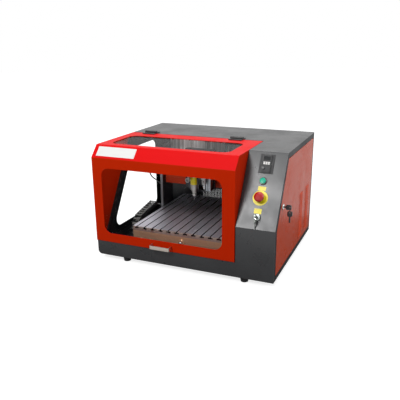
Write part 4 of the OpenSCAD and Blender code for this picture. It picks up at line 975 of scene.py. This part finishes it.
# %% Gantry screws
BEAM_SCREW, PLATE_SCREW_Y, PLATE_SCREW_Z, BACK_EDGE = mm(16, 28, 7, 15)
BACK_SCREWS = 6
rods_low, rods_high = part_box("x_guide_rods")
plates_low, plates_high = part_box("gantry_side_plates")
beam_low, beam_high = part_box("cross_beam")
rod_r = (rods_high.y - rods_low.y) / 2
rod_y = (rods_low.y + rods_high.y) / 2
beam_y, beam_z = (beam_low.y + beam_high.y) / 2, (beam_low.z + beam_high.z) / 2
holes = [(rod_y, rods_low.z + rod_r), (rod_y, rods_high.z - rod_r), (beam_y, beam_z - BEAM_SCREW),
         (beam_y, beam_z + BEAM_SCREW),
         (plates_low.y + PLATE_SCREW_Y, plates_low.z + PLATE_SCREW_Z),
         (plates_high.y - PLATE_SCREW_Y, plates_low.z + PLATE_SCREW_Z)]
places = [looking((x, y, z), (side, 0, 0)) for y, z in holes
          for x, side in ((plates_low.x, -1), (plates_high.x, 1))]
screws("gantry_screws", places, 10 * MM, "gantry")

back_low, back_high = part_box("beam_back_plate")
step = (back_high.x - back_low.x - 2 * BACK_EDGE) / (BACK_SCREWS - 1)
places = [looking((back_low.x + BACK_EDGE + k * step, back_low.y, back_high.z - 8 * MM), FORWARD)
          for k in range(BACK_SCREWS)]
screws("back_plate_screws", places, 7 * MM, "gantry")

# %% Head screws
plate_low, plate_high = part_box("x_carriage")
places = [looking((x, plate_low.y, z), FORWARD)
          for x in (plate_low.x + 8 * MM, plate_high.x - 8 * MM)
          for z in (plate_low.z + 10 * MM, plate_high.z - 10 * MM)]
screws("carriage_screws", places, 7 * MM, "x_slide", "hinge_black")
plates_z, screw_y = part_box("z_end_plates")[0].z, joints["z_screw_turn"]["pos_m"][1]
places = [looking((axis_point.x + s * 30 * MM, screw_y, plates_z), (0, 0, -1)) for s in SIDES]
screws("end_plate_screws", places, 8 * MM, "x_slide")
pinch = (clamp_low.x, clamp_low.y + 4 * MM, (clamp_low.z + clamp_high.z) / 2)
screws("clamp_screw", [looking(pinch, (-1, 0, 0))], 8 * MM, "z_slide")
nut = turned([(0, 3), (3, 3), (4, 2.5), (4, 0), (0, 0)], 6)
stamped("clamp_nut", [(nut, [looking((clamp_high.x, pinch[1], pinch[2]), (1, 0, 0))])],
        "bright_steel", "z_slide", 20)

# %% Motor screws
MOTOR_HOLE = 15.5 * MM  # from a motor's shaft to a hole, along each side of its square face


def motor_screws(name, node, body, axis, side, shaft=None):
    """Four screws round the shaft on the motor's outer end. The shaft is in the middle of the
    motor's box if no other point of it is given."""
    low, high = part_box(node)
    end = Vector(shaft) if shaft else (low + high) / 2
    end[axis] = (high if side > 0 else low)[axis]
    u, v = [k for k in range(3) if k != axis]
    direction = [0, 0, 0]
    direction[axis] = side
    places = []
    for a, b in product(SIDES, SIDES):
        point = end.copy()
        point[u] += a * MOTOR_HOLE
        point[v] += b * MOTOR_HOLE
        places.append(looking(point, direction))
    return screws(name, places, 5.5 * MM, body)


motor_screws("y_motor_screws", "y_motor", "root", 1, 1)
motor_screws("z_motor_screws", "z_motor", "x_slide", 2, 1)
motor_screws("x_motor_screws", "x_motor", "gantry", 0, -1, joints["x_screw_turn"]["pos_m"])

# %% Hinge and rod screws
LEAF_WIDTH, LEAF_SCREW, LEAF_EDGE, LEAF_THICK = mm(60, 20, 10, 4)
END_PLATE = 12 * MM  # a guide rod's end lies this deep in its end plate
fixed_low, fixed_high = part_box("hinge_fixed_leaves")
leaf_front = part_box("hinge_moving_leaves")[0].y
hinge_mid = (fixed_low.x + LEAF_WIDTH / 2, fixed_high.x - LEAF_WIDTH / 2)
for name, y, body in (("fixed_leaf_screws", fixed_high.y - LEAF_EDGE, "root"),
                      ("moving_leaf_screws", leaf_front + LEAF_EDGE, "hood")):
    rivet = turned([(0, 0.5), (1.2, 0.5), (1.4, 1.6), (2.6, 1.4), (4, 0), (0, 0)], 20)
    places = [at(x + s * LEAF_SCREW, y, fixed_low.z + LEAF_THICK) for x in hinge_mid for s in SIDES]
    stamped(name, [(rivet, places)], "hinge_black", body, 50)

rod_low, rod_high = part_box("y_guide_rods")
y_rod_r = (rod_high.z - rod_low.z) / 2
places = [looking((x, y, rod_low.z + y_rod_r), (0, side, 0))
          for y, side in ((rod_low.y - END_PLATE, -1), (rod_high.y + END_PLATE, 1))
          for x in (rod_low.x + y_rod_r, rod_high.x - y_rod_r)]
screws("rod_end_screws", places, 12 * MM, "root")

# %% [markdown]
# ## Sockets at the back and the electronics bay
# The mains inlet has three flat blades in its well, and the data socket has a tongue. Behind the
# service panel, the circuit board carries chips and round capacitors, and the power supply has a
# row of screw terminals.

# %% Sockets
sockets_low, sockets_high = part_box("rear_sockets")
inlet_x, inlet_z = (sockets_low.x + sockets_high.x) / 2, sockets_low.z + 15 * MM
data_z = sockets_high.z - 10 * MM
blades = [at(inlet_x + x * MM, sockets_high.y - 9 * MM, inlet_z + z * MM)
          for x, z in ((-6.5, -1.5), (6.5, -1.5), (0, 2.5))]
stamped("inlet_blades", [(rounded_block(mm(2, 15, 4.4), 0.5 * MM, axis=1), blades)],
        "bright_steel", "root")
tongue = rounded_block(mm(5.2, 8, 2.6), 0.4 * MM, axis=1, segments=2)
stamped("data_tongue", [(tongue, [at(inlet_x, sockets_high.y - 8 * MM, data_z)])],
        "white_plastic", "root")
places = [looking((inlet_x + s * 21 * MM, sockets_high.y, inlet_z), (0, 1, 0)) for s in SIDES]
screws("inlet_screws", places, 5 * MM, "root")

# %% Electronics
BOARD_FACE = 10 * MM  # from the back of the circuit board's mesh to the board's own face


def on_board_face(y, z, height=0.0):
    return board_low + Vector((BOARD_FACE + height, y * MM, z * MM))


cans = [looking(on_board_face(y, z), (1, 0, 0))
        for y, z in ((30, 110), (48, 110), (66, 110), (180, 100), (180, 120))]
can = turned([(0, 14.6), (5.2, 14.6), (6, 14), (6, 0), (0, 0)], 24)
stamped("board_capacitors", [(can, cans)], "supply_metal", "root")
chips = [at(*on_board_face(y, z, 1.2 * MM))
         for y, z in ((105, 110), (140, 112), (60, 28), (130, 24))]
chip = rounded_block(mm(2.4, 20, 20), 0.6 * MM, axis=1, segments=2)
stamped("board_chips", [(chip, chips)], "socket_black", "root")

supply_low, supply_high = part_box("power_supply")
strip_y = supply_low.y + 8 * MM
strip = at((supply_low.x + supply_high.x) / 2, strip_y, supply_high.z + 4 * MM)
stamped("supply_terminals", [(rounded_block(mm(84, 10, 8), 1 * MM, axis=0, segments=2), [strip])],
        "socket_black", "root")
places = [at(supply_low.x + (16 + 11 * k) * MM, strip_y, supply_high.z + 8 * MM)
          for k in range(7)]
screws("terminal_screws", places, 6 * MM, "root")
